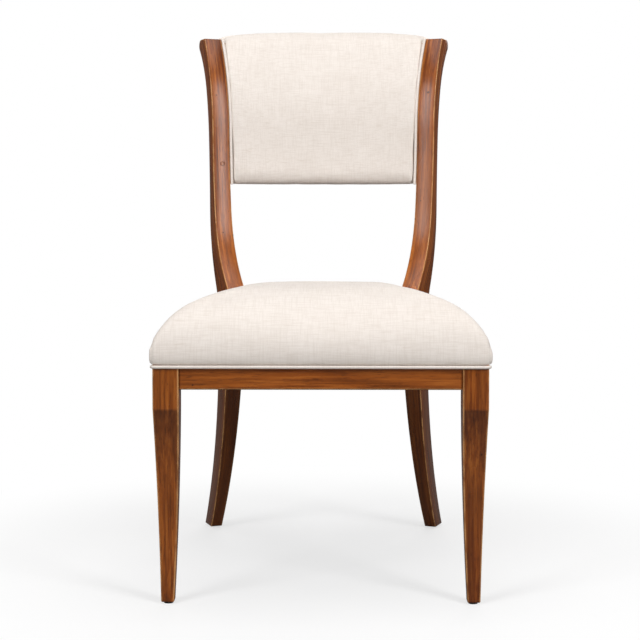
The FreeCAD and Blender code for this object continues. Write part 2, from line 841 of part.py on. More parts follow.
def cushion(depth=0.0, foot=cover_foot):
    """The whole cushion as one solid, inside its own skin by depth: the sides, front and rear meet."""
    far = 4.0 * half_front
    section = skin_section(side_levels, depth, foot, far)
    side = placed_flank(section, cushion_angle, cushion_corner)
    in_stile = turned(Part.Vertex(vector(-stile_entry, back_axis))).Point
    side = side.fuse(placed_flank(section, -stile_angle, in_stile))
    front = placed_flank(section, -90.0, vector(0, -seat_overhang))
    rear = Part.Face(wire_of(skin_section(rear_levels, depth, foot, rear_reach, True)))
    rear = rear.rotated(vector(0, 0), up, 90.0).translated(vector(0, back_axis + rear_reach))
    rear = turned(rear, 90.0).revolve(vector(0, back_axis), up, 180.0)
    rear = rear.fuse(block_between(vector(-far, -far, foot), vector(far, back_axis, 2.0 * rail_top)))
    body = side.common(mirrored(side)).common(front).common(rear)
    return cut_all(body, both_sides(corner_sliver(depth)))


def above(z):
    far = 4.0 * half_front
    return block_between(vector(-far, -far, z), vector(far, far, 2.0 * stile_top))


def seat_layers():
    """Cover, wadding and foam, one inside the other."""
    open_foot = cover_foot - cover_thickness * 6.0
    wadding_out = cover_thickness + layer_clearance
    wadding_in = wadding_out + wadding_thickness
    foam_out = wadding_in + layer_clearance
    foam_foot = rail_top + 2.0 * webbing_thickness + layer_clearance
    cover = cushion().cut(cushion(cover_thickness, open_foot))
    wadding = cushion(wadding_out).cut(cushion(wadding_in, open_foot)).common(above(wadding_foot))
    foam = cushion(foam_out).common(above(foam_foot))
    return [clear_of_stiles(layer) for layer in (cover, wadding, foam)]


def cord(edges, diameter):
    """A cord along a chain of lines and arcs, its section an octagon."""
    runs = []
    for edge in edges:
        first, last = edge.ParameterRange
        start, ahead = edge.valueAt(first), edge.tangentAt(first)
        turns = isinstance(edge.Curve, Part.Circle)
        out = edge.Curve.Axis if turns else (up if abs(ahead.z) < 0.9 else vector(1, 0))
        side = ahead.cross(out)
        angles = [math.pi * (number + 0.5) / 4.0 for number in range(8)]
        half = diameter / 2.0
        corners = [start + out * (half * math.cos(a)) + side * (half * math.sin(a)) for a in angles]
        face = Part.Face(Part.makePolygon(corners + corners[:1]))
        if turns:
            runs.append(face.revolve(edge.Curve.Center, edge.Curve.Axis, math.degrees(last - first)))
        else:
            runs.append(face.extrude(edge.valueAt(last) - start))
    return runs[0].fuse(runs[1:]) if len(runs) > 1 else runs[0]


def seat_welt():
    """Piping under the lower edge of the cover: one run round the front, one between the stiles."""
    drop = cover_foot - layer_clearance - welt_diameter / 2.0
    out = welt_diameter / 2.0 + welt_clearance
    front = meeting(side_point(out, 0), side_direction, vector(0, -out), vector(1, 0))
    end = side_point(out, side_length + half_stile)
    a, b, c = rounded_corner(front, vector(-front.x, front.y), end, welt_corner)
    right = [vector(p.x, p.y, drop) for p in (a, b, c, end)]
    left = [vector(-p.x, p.y, drop) for p in (a, b, c, end)]
    path = [line(left[3], left[2]), arc(left[2], left[1], left[0]), line(left[0], right[0])]
    path += [arc(right[0], right[1], right[2]), line(right[2], right[3])]
    reach = rear_rail_reach + rail_thickness + out
    ends = [turned(Part.Vertex(in_plane(reach, drop)), sign * stile_angle).Point for sign in (1.0, -1.0)]
    rear = [arc(ends[0], in_plane(reach, drop), ends[1])]
    return Part.makeCompound([clear_of_stiles(cord(run, welt_diameter)) for run in (path, rear)])


def dust_cover():
    """Thin cloth under the rails, cut round the legs."""
    low, high = rail_foot - dust_thickness, rail_foot
    start = rail_setback + dust_inset
    far = 2.0 * half_front
    end = back_axis + rear_rail_reach + rail_thickness
    sheet = block_between(vector(-far, start, low), vector(far, end, high))
    sheet = cut_all(sheet, both_sides(beyond_side(-rail_setback - dust_inset)))
    inside = rear_rail_reach + rail_thickness - dust_inset
    sheet = sheet.common(Part.makeCylinder(inside, stile_top, vector(0, back_axis), up))
    notch = half_front - front_leg_side - dust_leg_gap
    leg_room = block_between(vector(notch, -far, 0), vector(far, front_leg_side + dust_leg_gap, stile_top))
    sheet = cut_all(sheet, both_sides(leg_room))
    return cut_all(sheet, both_sides(turned(stile_blank(dust_leg_gap))))


# Glides
def glide(foot):
    disc = Part.makeCylinder(glide_diameter / 2.0, glide_thickness, foot, up)
    return disc.fuse(rod(nail_shank / 2.0, nail_length, foot, up)).removeSplitter()


def at_each_foot(maker):
    feet = (front_foot, rear_foot)
    return Part.makeCompound([piece for foot in feet for piece in both_sides(maker(foot))])


# Back panel: rails curved in plan, webbing between them, and the pad in front
def bottom_rail_section():
    """Corners of the bottom rail's section, from the front's foot round to the back's foot."""
    middle = (bottom_rail_low + bottom_rail_high) / 2.0
    front = reach_at(front_edge, middle) + back_rail_front
    back = front + back_rail_thickness
    low, high = bottom_rail_low, bottom_rail_high
    return [in_plane(front, low), in_plane(front, high), in_plane(back, high), in_plane(back, low)]


def top_rail_section():
    """The top rail leans with the stile."""
    lean = math.radians(lean_at(front_edge, top_rail_middle))
    half = vector(0, math.sin(lean), math.cos(lean)) * (top_rail_length / 2.0)
    through = vector(0, math.cos(lean), -math.sin(lean)) * back_rail_thickness
    front = in_plane(reach_at(front_edge, top_rail_middle) + back_rail_front, top_rail_middle)
    return [front - half, front + half, front + half + through, front - half + through]


def back_line():
    """Front and back lines of the back's frame, from the bottom rail's foot to the top rail's head."""
    bottom, top = bottom_rail_section(), top_rail_section()
    return [bottom[0], bottom[1], top[0], top[1]], [bottom[3], bottom[2], top[3], top[2]]


def moved_back(points, shift):
    return [p + vector(0, shift, 0) for p in points]


def line_at(points, z):
    """The point of a rising chain of straight lines at one height, its ends carried on straight."""
    pairs = list(zip(points, points[1:]))
    low, high = next(((a, b) for a, b in pairs if z <= b.z), pairs[-1])
    return low + (high - low) * ((z - low.z) / (high.z - low.z))


def sheet_section(points, thickness, z_low, z_high):
    """Section of a sheet whose front face follows the points."""
    inner = [p for p in points if z_low < p.z < z_high]
    front = [line_at(points, z_low)] + inner + [line_at(points, z_high)]
    return closed(front + moved_back(front, thickness)[::-1])


def back_rail(section):
    rail = between_stiles(revolved(closed(section), stile_angle))
    low, high = section[0].z, section[2].z
    for hole in back_dowels(dowel_clearance, dowel_end_room):
        if low < hole.BoundBox.Center.z < high:
            rail = cut_all(rail, both_sides(hole))
    return rail


def back_webbing():
    front, _ = back_line()
    front = moved_back(front, -back_webbing_thickness)
    low, high = bottom_rail_low + back_webbing_end, front[-1].z - back_webbing_end
    section = sheet_section(front, back_webbing_thickness, low, high)
    half_turn = math.degrees(webbing_width / 2.0 / front[0].y)
    strip = revolved(section, half_turn)
    first = -(back_webbing_count - 1) / 2.0
    places = [first + number for number in range(back_webbing_count)]
    return Part.makeCompound([turned(strip, place * back_webbing_turn) for place in places])


def pad_axis():
    """Axis about which the front of the pad curves: further forward than the back's, for its crown."""
    reach = reach_at(front_edge, bottom_rail_high)
    half_chord = reach * math.sin(turn)
    bow = reach * (1.0 - math.cos(turn)) - panel_crown
    radius = (half_chord**2 + bow**2) / (2.0 * bow)
    return back_axis + reach - panel_crown - radius


def pad_front(depth):
    """All that lies behind the pad's skin, between its foot and its top."""
    shift = panel_front - panel_crown
    leans = [(z, lean) for z, lean in front_edge_steps if bottom_roll_top < z < top_roll_foot]
    steps = [(bottom_roll_top, lean_at(front_edge, bottom_roll_top))] + leans
    steps += [(top_roll_foot, lean_at(front_edge, top_roll_foot)), (panel_top, 90.0)]
    first_lean = (bottom_roll_lean + steps[0][1]) / 2.0
    rise = bottom_roll_top - panel_bottom
    start_reach = reach_at(front_edge, bottom_roll_top) + shift - rise * math.tan(math.radians(first_lean))
    start, steps = inside_chain((panel_bottom, start_reach, bottom_roll_lean), steps, -depth)
    skin = swept_chords(swept_spans(*start, steps))
    far = in_plane(rear_edge_foot + 2.0 * stile_width, 0)
    back = [vector(0, far.y, skin[-1].z), vector(0, far.y, skin[0].z)]
    angle = stile_angle * 1.5
    face = Part.Face(wire_of(closed(skin + back))).rotated(vector(0, pad_axis()), up, angle)
    return face.revolve(vector(0, pad_axis()), up, -2.0 * angle)


def in_front_of(points, low, high):
    """All that lies in front of a chain of lines, turned about the back's axis."""
    chain = [line_at(points, low)] + [p for p in points if low < p.z < high] + [line_at(points, high)]
    near = back_axis + 2.0 * half_stile
    return revolved(closed(chain + [vector(0, near, high), vector(0, near, low)]), 2.0 * stile_angle)


panel_end = back_welt_gap + back_welt_diameter + layer_clearance


def back_layers():
    """Cover and foam of the back."""
    front, back = back_line()
    low, high = panel_bottom - back_rail_thickness, panel_top + back_rail_thickness
    before_back = in_front_of(back, low, high)
    cover = pad_front(0.0).cut(pad_front(cover_thickness)).common(before_back)
    room = layer_clearance + back_webbing_thickness
    head = front[-1].z + room
    before_webbing = in_front_of(moved_back(front, -room), low, head)
    over_rail = in_front_of(back, head, high)
    foam = pad_front(cover_thickness + layer_clearance).common(before_webbing.fuse(over_rail))
    return between_stiles(cover, panel_end), between_stiles(foam, panel_end)


def outside_back():
    _, back = back_line()
    section = sheet_section(
        moved_back(back, layer_clearance),
        outside_back_thickness,
        panel_bottom + outside_back_inset,
        panel_top - outside_back_inset,
    )
    return between_stiles(revolved(section, stile_angle), layer_clearance)


def back_welt():
    """Piping down the side of the panel, beside the stile, and over its top."""
    x = vector(-half_stile - back_welt_gap - back_welt_diameter / 2.0, 0, 0)
    low, high = panel_bottom - back_welt_drop, back_welt_top
    path = swept_edges(front_edge, low, high, back_welt_front)
    lean = math.radians(lean_at(front_edge, high))
    end = in_plane(reach_at(front_edge, high) + back_welt_front, high)
    towards = vector(0, math.cos(lean), -math.sin(lean))
    ahead = vector(0, math.sin(lean), math.cos(lean))
    radius = back_rail_thickness / 2.0
    path.append(arc(end, end + towards * radius + ahead * radius, end + towards * (2.0 * radius)))
    return turned(cord([edge.translated(x) for edge in path], back_welt_diameter))


def build():
    seat_cover, seat_wadding, seat_foam = seat_layers()
    back_cover, back_foam = back_layers()
    leg, stile, rail = front_leg(), rear_leg(), side_rail()
    front_block = corner_block(front_block_plan(), front_screws())
    rear_block = corner_block(rear_block_plan(), rear_screws())
    welt = back_welt()
    dowels = [piece for rod in back_dowels() for piece in both_sides(rod)]
    return {
        "front_leg_right": leg,
        "front_leg_left": mirrored(leg),
        "rear_leg_right": stile,
        "rear_leg_left": mirrored(stile),
        "front_rail": front_rail(),
        "side_rail_right": rail,
        "side_rail_left": mirrored(rail),
        "rear_rail": rear_rail(),
        "corner_block_front_right": front_block,
        "corner_block_front_left": mirrored(front_block),
        "corner_block_rear_right": rear_block,
        "corner_block_rear_left": mirrored(rear_block),
        "corner_block_screws": corner_block_screws(),
        "seat_webbing_lengthwise": lengthwise_webbing(),
        "seat_webbing_crosswise": crosswise_webbing(),
        "seat_foam": seat_foam,
        "seat_wadding": seat_wadding,
        "seat_cover": seat_cover,
        "seat_welt": seat_welt(),
        "dust_cover": dust_cover(),
        "leg_glides": at_each_foot(glide),
        "back_top_rail": back_rail(top_rail_section()),
        "back_bottom_rail": back_rail(bottom_rail_section()),
        "back_rail_dowels": Part.makeCompound(dowels),
        "back_webbing": back_webbing(),
        "back_foam": back_foam,
        "back_cover": back_cover,
        "outside_back": outside_back(),
        "back_welt_right": welt,
        "back_welt_left": mirrored(welt),
    }


pieces = build()
box = Part.makeCompound(list(pieces.values())).optimalBoundingBox(False, False)
middle = vector(-(box.XMin + box.XMax) / 2.0, -(box.YMin + box.YMax) / 2.0, -box.ZMin)
os.makedirs("parts", exist_ok=True)
for name, shape in pieces.items():
    shape.translated(middle).exportStep(f"parts/{name}.step")
    print(name, len(shape.Solids), "solids", round(shape.Volume), "valid", shape.isValid())
print("box", round(box.XLength, 1), round(box.YLength, 1), round(box.ZLength, 1), "moved", middle)
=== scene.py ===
import math

import bmesh
import bpy
from mathutils import Matrix, Vector, noise


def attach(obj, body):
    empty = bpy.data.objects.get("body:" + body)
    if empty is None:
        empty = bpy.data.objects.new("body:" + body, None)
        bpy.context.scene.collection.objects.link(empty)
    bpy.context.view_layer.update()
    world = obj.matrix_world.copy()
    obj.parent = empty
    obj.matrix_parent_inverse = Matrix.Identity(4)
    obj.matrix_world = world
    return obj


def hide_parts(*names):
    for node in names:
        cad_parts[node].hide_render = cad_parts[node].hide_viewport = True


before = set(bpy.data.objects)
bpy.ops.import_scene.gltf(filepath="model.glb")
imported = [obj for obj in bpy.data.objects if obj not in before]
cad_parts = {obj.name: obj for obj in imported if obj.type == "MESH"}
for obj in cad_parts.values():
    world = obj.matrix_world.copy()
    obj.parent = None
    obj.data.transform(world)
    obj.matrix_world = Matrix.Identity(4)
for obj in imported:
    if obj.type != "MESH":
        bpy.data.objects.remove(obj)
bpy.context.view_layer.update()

# Klismos dining chair. Lengths are in metres, +Z is up and the chair faces -Y.
# Depths are counted back from the front faces of the front legs, which stand at y = FRONT.
MM = 0.001
FRONT = -0.31233

# Frame
SEAT_HALF = 0.254  # half the width over the front legs
BLOCK = 0.040  # side of the front leg's square block
KNEE = 0.300  # the front leg is hollowed and tapered below it
RAIL_TOP = 0.398
REAR_RAIL = 0.460  # radius of the rear rail's outer face, about the back's axis
GLIDE = 0.0025
EASED = 0.002  # bevel along the legs' long edges
BACK_AXIS = 0.051  # depth of the upright line about which the back is curved
STILE_ANGLE = math.radians(22.0)
HALF_STILE = 0.016
STILE_TOP = 0.915
FOOT_WIDTH, FOOT_TAPER = 0.021, 0.32  # the rear leg narrows to its foot, from this height down

# Upholstery
COVER_FOOT = 0.3665
SIDE_OVERHANG = 0.008
FRONT_OVERHANG = 0.005
SEAT_REAR = 0.467  # radius of the cushion's rear edge, about the back's axis
SEAT_CORNER = 0.011
WELT = 0.005
BACK_WELT = 0.0054
PANEL_BOTTOM = 0.643
PANEL_SIDE = 0.0212  # from the stile's middle plane to the panel's side
PANEL_TOP_END, PANEL_TOP_MIDDLE = 0.926, 0.9335
PANEL_ROLL = 0.897  # the panel's front rolls over to its top above this height

# Chains of arcs that the rear leg's front and rear edges follow: the reach at the floor and the lean there,
# then the height in millimetres and the lean, in degrees back from upright, at the end of each arc
FRONT_EDGE = (0.5375, -31.0, ((262, -11.5), (412, -11.5), (462, 46), (597, 8), (745, 1.2), (915, 31)))
REAR_EDGE = (0.5755, -30.5, ((260, -10), (390, 0), (461, 27), (600, 1), (727, 3.5), (818, 14.5), (897, 42.5)))


def smooth(t):
    t = max(0.0, min(1.0, t))
    return t * t * (3.0 - 2.0 * t)


def reach(edge, z):
    """Distance of an edge of the stile from the back's axis, at one height. The last arc runs on past its end."""
    r, lean, steps = edge
    low = 0.0
    for number, (high, next_lean) in enumerate(steps, 1):
        high *= MM
        if z <= high or number == len(steps):
            start, end = math.sin(math.radians(lean)), math.sin(math.radians(next_lean))
            here = start + (z - low) / (high - low) * (end - start)
            here = math.asin(max(-0.97, min(0.97, here)))
            return r + (z - low) * math.tan((math.radians(lean) + here) / 2.0)
        r += (high - low) * math.tan(math.radians((lean + next_lean) / 2.0))
        low, lean = high, next_lean


def between(pairs, x):
    """Height at x on the straight runs between the pairs, level beyond the first and the last."""
    if x <= pairs[0][0]:
        return pairs[0][1]
    for (x0, y0), (x1, y1) in zip(pairs, pairs[1:]):
        if x <= x1:
            return y0 + (y1 - y0) * ((x - x0) / (x1 - x0))
    return pairs[-1][1]


# Small helpers for modelling
def alone():
    """Nothing is left selected."""
    if bpy.context.object and bpy.context.object.mode != "OBJECT":
        bpy.ops.object.mode_set(mode="OBJECT")
    bpy.ops.object.select_all(action="DESELECT")


def pick(piece):
    alone()
    piece.select_set(True)
    bpy.context.view_layer.objects.active = piece


def settle(piece):
    """Put the piece's place into its mesh."""
    pick(piece)
    bpy.ops.object.transform_apply(location=True, rotation=True, scale=True)


def finish_with(piece, kind, **settings):
    pick(piece)
    modifier = piece.modifiers.new(kind.title(), kind)
    for key, value in settings.items():
        setattr(modifier, key, value)
    bpy.ops.object.modifier_apply(modifier=modifier.name)


def smooth_sides(piece, degrees):
    """Shade smooth, but keep edges sharper than this."""
    pick(piece)
    bpy.ops.object.shade_smooth_by_angle(angle=math.radians(degrees))


def outwards(piece):
    """All faces point outwards."""
    pick(piece)
    bpy.ops.object.mode_set(mode="EDIT")
    bpy.ops.mesh.select_all(action="SELECT")
    bpy.ops.mesh.normals_make_consistent(inside=False)
    bpy.ops.object.mode_set(mode="OBJECT")


def other_side(piece, name):
    """The same piece on the chair's other side, with its own mesh."""
    pick(piece)
    bpy.ops.object.duplicate()
    twin = bpy.context.object
    twin.name = name
    twin.scale = (-1, 1, 1)
    settle(twin)
    outwards(twin)
    return twin


def toe_out(piece):
    """Turn a piece about the back's axis, to stand as the right stile does."""
    axis = Vector((0.0, BACK_AXIS + FRONT, 0.0))
    piece.matrix_world = Matrix.Translation(axis) @ Matrix.Rotation(-STILE_ANGLE, 4, "Z") @ Matrix.Translation(-axis)
    settle(piece)


def dress(piece, nodes, material):
    piece.data.materials.clear()
    piece.data.materials.append(material)
    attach(piece, "root")
    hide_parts(*nodes)


# Materials
def hue(code):
    """A screen colour as a linear one."""
    parts = [int(code[i : i + 2], 16) / 255.0 for i in (1, 3, 5)]
    return tuple(p / 12.92 if p <= 0.04045 else ((p + 0.055) / 1.055) ** 2.4 for p in parts) + (1.0,)


def new_material(name):
    material = bpy.data.materials.new(name)
    material.use_nodes = True
    return material, material.node_tree.nodes["Principled BSDF"]


def wire(owner, node, links):
    """Give a node's inputs their values, or the output of another node, by default its first one in use."""
    for key, value in links.items():
        if isinstance(value, bpy.types.Node):
            value = next(output for output in value.outputs if output.enabled)
        if isinstance(value, bpy.types.NodeSocket):
            owner.node_tree.links.new(value, node.inputs[key])
        else:
            node.inputs[key].default_value = value


def add(owner, kind, links=(), stops=(), **settings):
    """Add a node with its settings and links. A colour ramp has stops, each a place with a colour or a grey."""
    node = owner.node_tree.nodes.new("ShaderNode" + kind)
    for key, value in settings.items():
        setattr(node, key, value)
    if stops:
        marks = node.color_ramp.elements
        while len(marks) < len(stops):
            marks.new(0.5)
        for mark, (place, colour) in zip(marks, stops):
            mark.position = place
            mark.color = colour if isinstance(colour, tuple) else (colour, colour, colour, 1.0)
    wire(owner, node, dict(links))
    return node


def stained_wood(name, grain, side=(1.0, 0.0, 0.0), dents=(), painted_shade=(), bent=False):
    """Beech, stained warm brown and sprayed with satin lacquer. The stain lies darker in the pores and along the
    growth lines, and is worn through to orange along the edges, so that the frame looks handled and old; the
    edges are also drawn lighter as a painted highlight. Small dents are filled in dark. Where stops are given,
    painted shade darkens the wood by height. grain has 0 for the axis along the grain, and side is the direction
    across the piece; an edge lies between the two."""
    material, shader = new_material(name)
    place = add(material, "TexCoord").outputs["Object"]
    where = add(material, "SeparateXYZ", {0: place}).outputs
    to_side = add(material, "Math", {0: where[0]}, operation="SIGN")
    start = place
    if bent:
        # The board was picked so that its figure runs with the bend: the pattern leans back with the front edge.
        stops = [(z, 0.4 + reach(FRONT_EDGE, z)) for z in (0.93 * i / 24.0 for i in range(25))]
        lean = add(material, "ValToRGB", {0: where[2]}, stops)
        aside = add(material, "Math", {0: to_side, 1: math.sin(STILE_ANGLE)}, operation="MULTIPLY")
        back = add(material, "CombineXYZ", {0: aside, 1: math.cos(STILE_ANGLE)})
        bend = add(material, "VectorMath", {0: back, 1: lean}, operation="MULTIPLY")
        start = add(material, "VectorMath", {0: place, 1: bend}, operation="SUBTRACT")

    # Grain lines 1.5 mm across, growth lines 4 mm apart and pores 0.8 mm across, all drawn coarser than real ones.
    figure = {}
    for part, drawn_out_to, scale, detail, rough in (
        ("lines", 0.03, 240.0, 4.0, 0.65),
        ("growth", 0.06, 75.0, 3.0, 0.6),
        ("clouds", 0.25, 16.0, 2.0, 0.5),
        ("pores", 0.08, 800.0, 2.0, 0.5),
    ):
        along = add(material, "Mapping", {"Vector": start, "Scale": [1.0 if g else drawn_out_to for g in grain]})
        figure[part] = add(
            material, "TexNoise", {"Vector": along, "Scale": scale, "Detail": detail, "Roughness": rough}
        )
    stops = [(0.34, hue("#57280b")), (0.5, hue("#954b17")), (0.66, hue("#bd6e2c"))]
    colour = add(material, "ValToRGB", {0: figure["lines"]}, stops)
    for part, stops, stain in (
        ("growth", [(0.42, 0.0), (0.64, 0.68)], "#602b0c"),
        ("clouds", [(0.4, 0.0), (0.7, 0.45)], "#ab5f1e"),
        ("clouds", [(0.25, 0.4), (0.42, 0.0)], "#55260b"),
        ("pores", [(0.58, 0.0), (0.68, 0.45)], "#34180a"),
    ):
        share = add(material, "ValToRGB", {0: figure[part]}, stops)
        colour = add(material, "Mix", {0: share, 6: colour, 7: hue(stain)}, data_type="RGBA")

    # Painted shade: the wood is darkened by height, most just under the front legs' knee, where the face turns down,
    # and on the rear legs below the seat.
    if painted_shade:
        share = add(material, "ValToRGB", {0: where[2]}, painted_shade)
        colour = add(material, "Mix", {0: share, 6: colour, 7: hue("#2b1206")}, data_type="RGBA")

    # An edge lies where the normal, rounded over 3.6 mm, is neither across the piece nor square to that.
    rounded = add(material, "Bevel", {"Radius": 0.0036}, samples=8)
    normal = add(material, "SeparateXYZ", {0: rounded}).outputs
    turned = add(material, "Math", {0: normal[1], 1: to_side}, operation="MULTIPLY")
    across = add(material, "Math", {0: normal[0], 1: side[0]}, operation="MULTIPLY")
    across = add(material, "Math", {0: turned, 1: side[1], 2: across}, operation="MULTIPLY_ADD")
    across = add(material, "Math", {0: normal[2], 1: side[2], 2: across}, operation="MULTIPLY_ADD")
    across = add(material, "Math", {0: across}, operation="ABSOLUTE")
    edge = add(material, "ValToRGB", {0: across}, [(0.16, 0.0), (0.42, 1.0), (0.86, 1.0), (0.97, 0.0)])
    along = add(material, "Mapping", {"Vector": place, "Scale": (1, 1, 0.6)})
    patches = add(material, "TexNoise", {"Vector": along, "Scale": 55.0, "Detail": 3.0, "Roughness": 0.6})
    patches = add(material, "ValToRGB", {0: patches}, [(0.36, 0.25), (0.58, 1.0)])
    # Lighter orange along the edges: partly wear through the stain, partly a painted highlight on the eased edges.
    wear_and_highlight = add(material, "Math", {0: edge, 1: patches}, operation="MULTIPLY")
    wear_and_highlight = add(material, "Math", {0: wear_and_highlight, 1: 0.9}, operation="MULTIPLY")
    colour = add(material, "Mix", {0: wear_and_highlight, 6: colour, 7: hue("#dba268")}, data_type="RGBA")

    # Specks like worm holes, 1 to 2 mm across, and the larger dents, each at its own place.
    along = add(material, "Mapping", {"Vector": place, "Scale": (1, 1, 0.8)})
    speck = add(material, "TexVoronoi", {"Vector": along, "Scale": 30.0})
    speck = add(material, "ValToRGB", {0: speck}, [(0.028, 1.0), (0.05, 0.0)])
    moved = add(material, "Mapping", {"Vector": place, "Location": (3, 1, 2)})
    here = add(material, "TexNoise", {"Vector": moved, "Scale": 9.0})
    here = add(material, "ValToRGB", {0: here}, [(0.52, 0.0), (0.57, 0.8)])
    dent = add(material, "Math", {0: speck, 1: here}, operation="MULTIPLY")
    for point, size, ring in dents:
        far = add(material, "VectorMath", {0: place, 1: point}, operation="DISTANCE")
        far = add(material, "Math", {0: far, 1: 2.0 * size}, operation="DIVIDE")
        stops = [(0.3, 0.0), (0.42, 0.9), (0.55, 0.0)] if ring else [(0.3, 1.0), (0.5, 0.0)]
        mark = add(material, "ValToRGB", {0: far}, stops)
        dent = add(material, "Math", {0: dent, 1: mark}, operation="MAXIMUM")
    share = add(material, "Math", {0: dent, 1: 0.85}, operation="MULTIPLY")
    colour = add(material, "Mix", {0: share, 6: colour, 7: hue("#1b0c06")}, data_type="RGBA")

    gloss = add(material, "ValToRGB", {0: figure["clouds"]}, [(0.3, 0.22), (0.7, 0.32)])
    depth = add(material, "Math", {0: figure["lines"], 1: 0.5}, operation="MULTIPLY")
    depth = add(material, "Math", {0: dent, 1: -2.0, 2: depth}, operation="MULTIPLY_ADD")
    bump = add(material, "Bump", {"Height": depth, "Normal": rounded, "Strength": 0.22, "Distance": 0.0006})
    wire(material, shader, {"Base Color": colour, "Roughness": gloss, "Normal": bump})
    wire(material, shader, {"IOR": 1.5, "Specular IOR Level": 0.42})
    return material


def linen():
    """Unbleached linen, plain woven: uneven yarns cross at right angles, matt with a little fuzz, so that the
    cloth looks dry and slightly mottled. The real threads lie 0.6 mm apart; they are drawn three times as wide,
    so that they show."""
    material, shader = new_material("off-white linen")
    deep, thread = hue("#ddd2c8"), 1.8 * MM
    place = add(material, "TexCoord").outputs["Object"]
    # Level cloth shows the threads along X and Y, cloth facing the front those along X and Z, and so on,
    # blended by the fourth power of the normal.
    normal = add(material, "NewGeometry").outputs["Normal"]
    fourth = add(material, "VectorMath", {0: normal, 1: normal}, operation="MULTIPLY")
    fourth = add(material, "VectorMath", {0: fourth, 1: fourth}, operation="MULTIPLY")
    facing = add(material, "SeparateXYZ", {0: fourth}).outputs
    whole = add(material, "Math", {0: facing[0], 1: facing[1]}, operation="ADD")
    whole = add(material, "Math", {0: whole, 1: facing[2]}, operation="ADD")
    wander = add(material, "TexNoise", {"Vector": place, "Scale": 45.0, "Detail": 2.0}).outputs["Color"]
    pushed = add(material, "VectorMath", {0: wander, 1: (0.002,) * 3, 2: place}, operation="MULTIPLY_ADD")
    waves = []
    for part in add(material, "SeparateXYZ", {0: pushed}).outputs:
        turns = add(material, "Math", {0: part, 1: 2.0 * math.pi / thread}, operation="MULTIPLY")
        waves.append(add(material, "Math", {0: turns}, operation="SINE"))
    weave = 0.0
    for axis, (first, second) in enumerate(((1, 2), (0, 2), (0, 1))):
        crossing = add(material, "Math", {0: waves[first], 1: waves[second]}, operation="MULTIPLY")
        share = add(material, "Math", {0: facing[axis], 1: whole}, operation="DIVIDE")
        weave = add(material, "Math", {0: crossing, 1: share, 2: weave}, operation="MULTIPLY_ADD")

    # Yarns 0.5 mm thick along X and up, a few thick slubs along X, and a faint mottling 50 mm across
    along = add(material, "Mapping", {"Vector": place, "Scale": (0.07, 1.0, 1.0)})
    level_yarn = add(material, "TexNoise", {"Vector": along, "Scale": 520.0, "Detail": 3.0, "Roughness": 0.65})
    along = add(material, "Mapping", {"Vector": place, "Scale": (1.0, 0.07, 0.07)})
    cross_yarn = add(material, "TexNoise", {"Vector": along, "Scale": 520.0, "Detail": 3.0, "Roughness": 0.65})
    along = add(material, "Mapping", {"Vector": place, "Scale": (0.12, 1.0, 1.0), "Location": (5, 2, 8)})
    slubs = add(material, "TexNoise", {"Vector": along, "Scale": 260.0, "Detail": 1.0, "Roughness": 0.5})
    mottled = add(material, "TexNoise", {"Vector": place, "Scale": 20.0, "Detail": 3.0, "Roughness": 0.6})
    colour = hue("#f4ece5")
    for pattern, stops, yarn in (
        (level_yarn, [(0.34, 0.42), (0.56, 0.0)], deep),
        (cross_yarn, [(0.34, 0.38), (0.56, 0.0)], deep),
        (slubs, [(0.66, 0.0), (0.76, 0.2)], hue("#c9b8a6")),
        (weave, [(0.0, 0.16), (0.5, 0.0)], hue("#cbbdb0")),
        (mottled, [(0.35, 0.2), (0.62, 0.0)], deep),
    ):
        share = add(material, "ValToRGB", {0: pattern}, stops)
        colour = add(material, "Mix", {0: share, 6: colour, 7: yarn}, data_type="RGBA")

    depth = add(material, "Math", {0: level_yarn, 1: cross_yarn}, operation="ADD")
    depth = add(material, "Math", {0: weave, 1: 0.3, 2: depth}, operation="MULTIPLY_ADD")
    bump = add(material, "Bump", {"Height": depth, "Strength": 0.22, "Distance": 0.0005})
    wire(material, shader, {"Base Color": colour, "Normal": bump, "Roughness": 0.9, "Specular IOR Level": 0.2})
    wire(material, shader, {"Sheen Weight": 0.15, "Sheen Roughness": 0.5})
    return material


def plain_wood():
    """Planed beech left bare inside the frame: pale and matt, with fine darker flecks 1 mm across."""
    material, shader = new_material("bare beech")
    place = add(material, "TexCoord").outputs["Object"]
    along = add(material, "Mapping", {"Vector": place, "Scale": (0.03, 1.0, 1.0)})
    grain = add(material, "TexNoise", {"Vector": along, "Scale": 380.0, "Detail": 4.0, "Roughness": 0.6})
    colour = add(material, "ValToRGB", {0: grain}, [(0.3, hue("#a97c4f")), (0.7, hue("#cda274"))])
    bump = add(material, "Bump", {"Height": grain, "Strength": 0.2, "Distance": 0.0003})
    wire(material, shader, {"Base Color": colour, "Normal": bump, "Roughness": 0.65})
    return material


def woven(name, pale, deep, thread):
    """A plain woven strip or cloth, its threads crossing at right angles, so that it looks coarse and matt."""
    material, shader = new_material(name)
    place = add(material, "TexCoord").outputs["Object"]
    parts = add(material, "SeparateXYZ", {0: place}).outputs
    waves = []
    for part in parts[:2]:
        turns = add(material, "Math", {0: part, 1: 2.0 * math.pi / thread}, operation="MULTIPLY")
        waves.append(add(material, "Math", {0: turns}, operation="SINE"))
    weave = add(material, "Math", {0: waves[0], 1: waves[1]}, operation="MULTIPLY")
    colour = add(material, "ValToRGB", {0: weave}, [(0.0, hue(deep)), (0.8, hue(pale))])
    bump = add(material, "Bump", {"Height": weave, "Strength": 0.3, "Distance": 0.0004})
    wire(material, shader, {"Base Color": colour, "Normal": bump, "Roughness": 0.9})
    return material


def clouded(name, scale, deep, pale, finish):
    """A surface with a faint fine cloudiness between two near colours."""
    material, shader = new_material(name)
    place = add(material, "TexCoord").outputs["Object"]
    cloud = add(material, "TexNoise", {"Vector": place, "Scale": scale})
    colour = add(material, "ValToRGB", {0: cloud}, [(0.3, hue(deep)), (0.7, hue(pale))])
    wire(material, shader, {"Base Color": colour})
    wire(material, shader, finish)
    return material


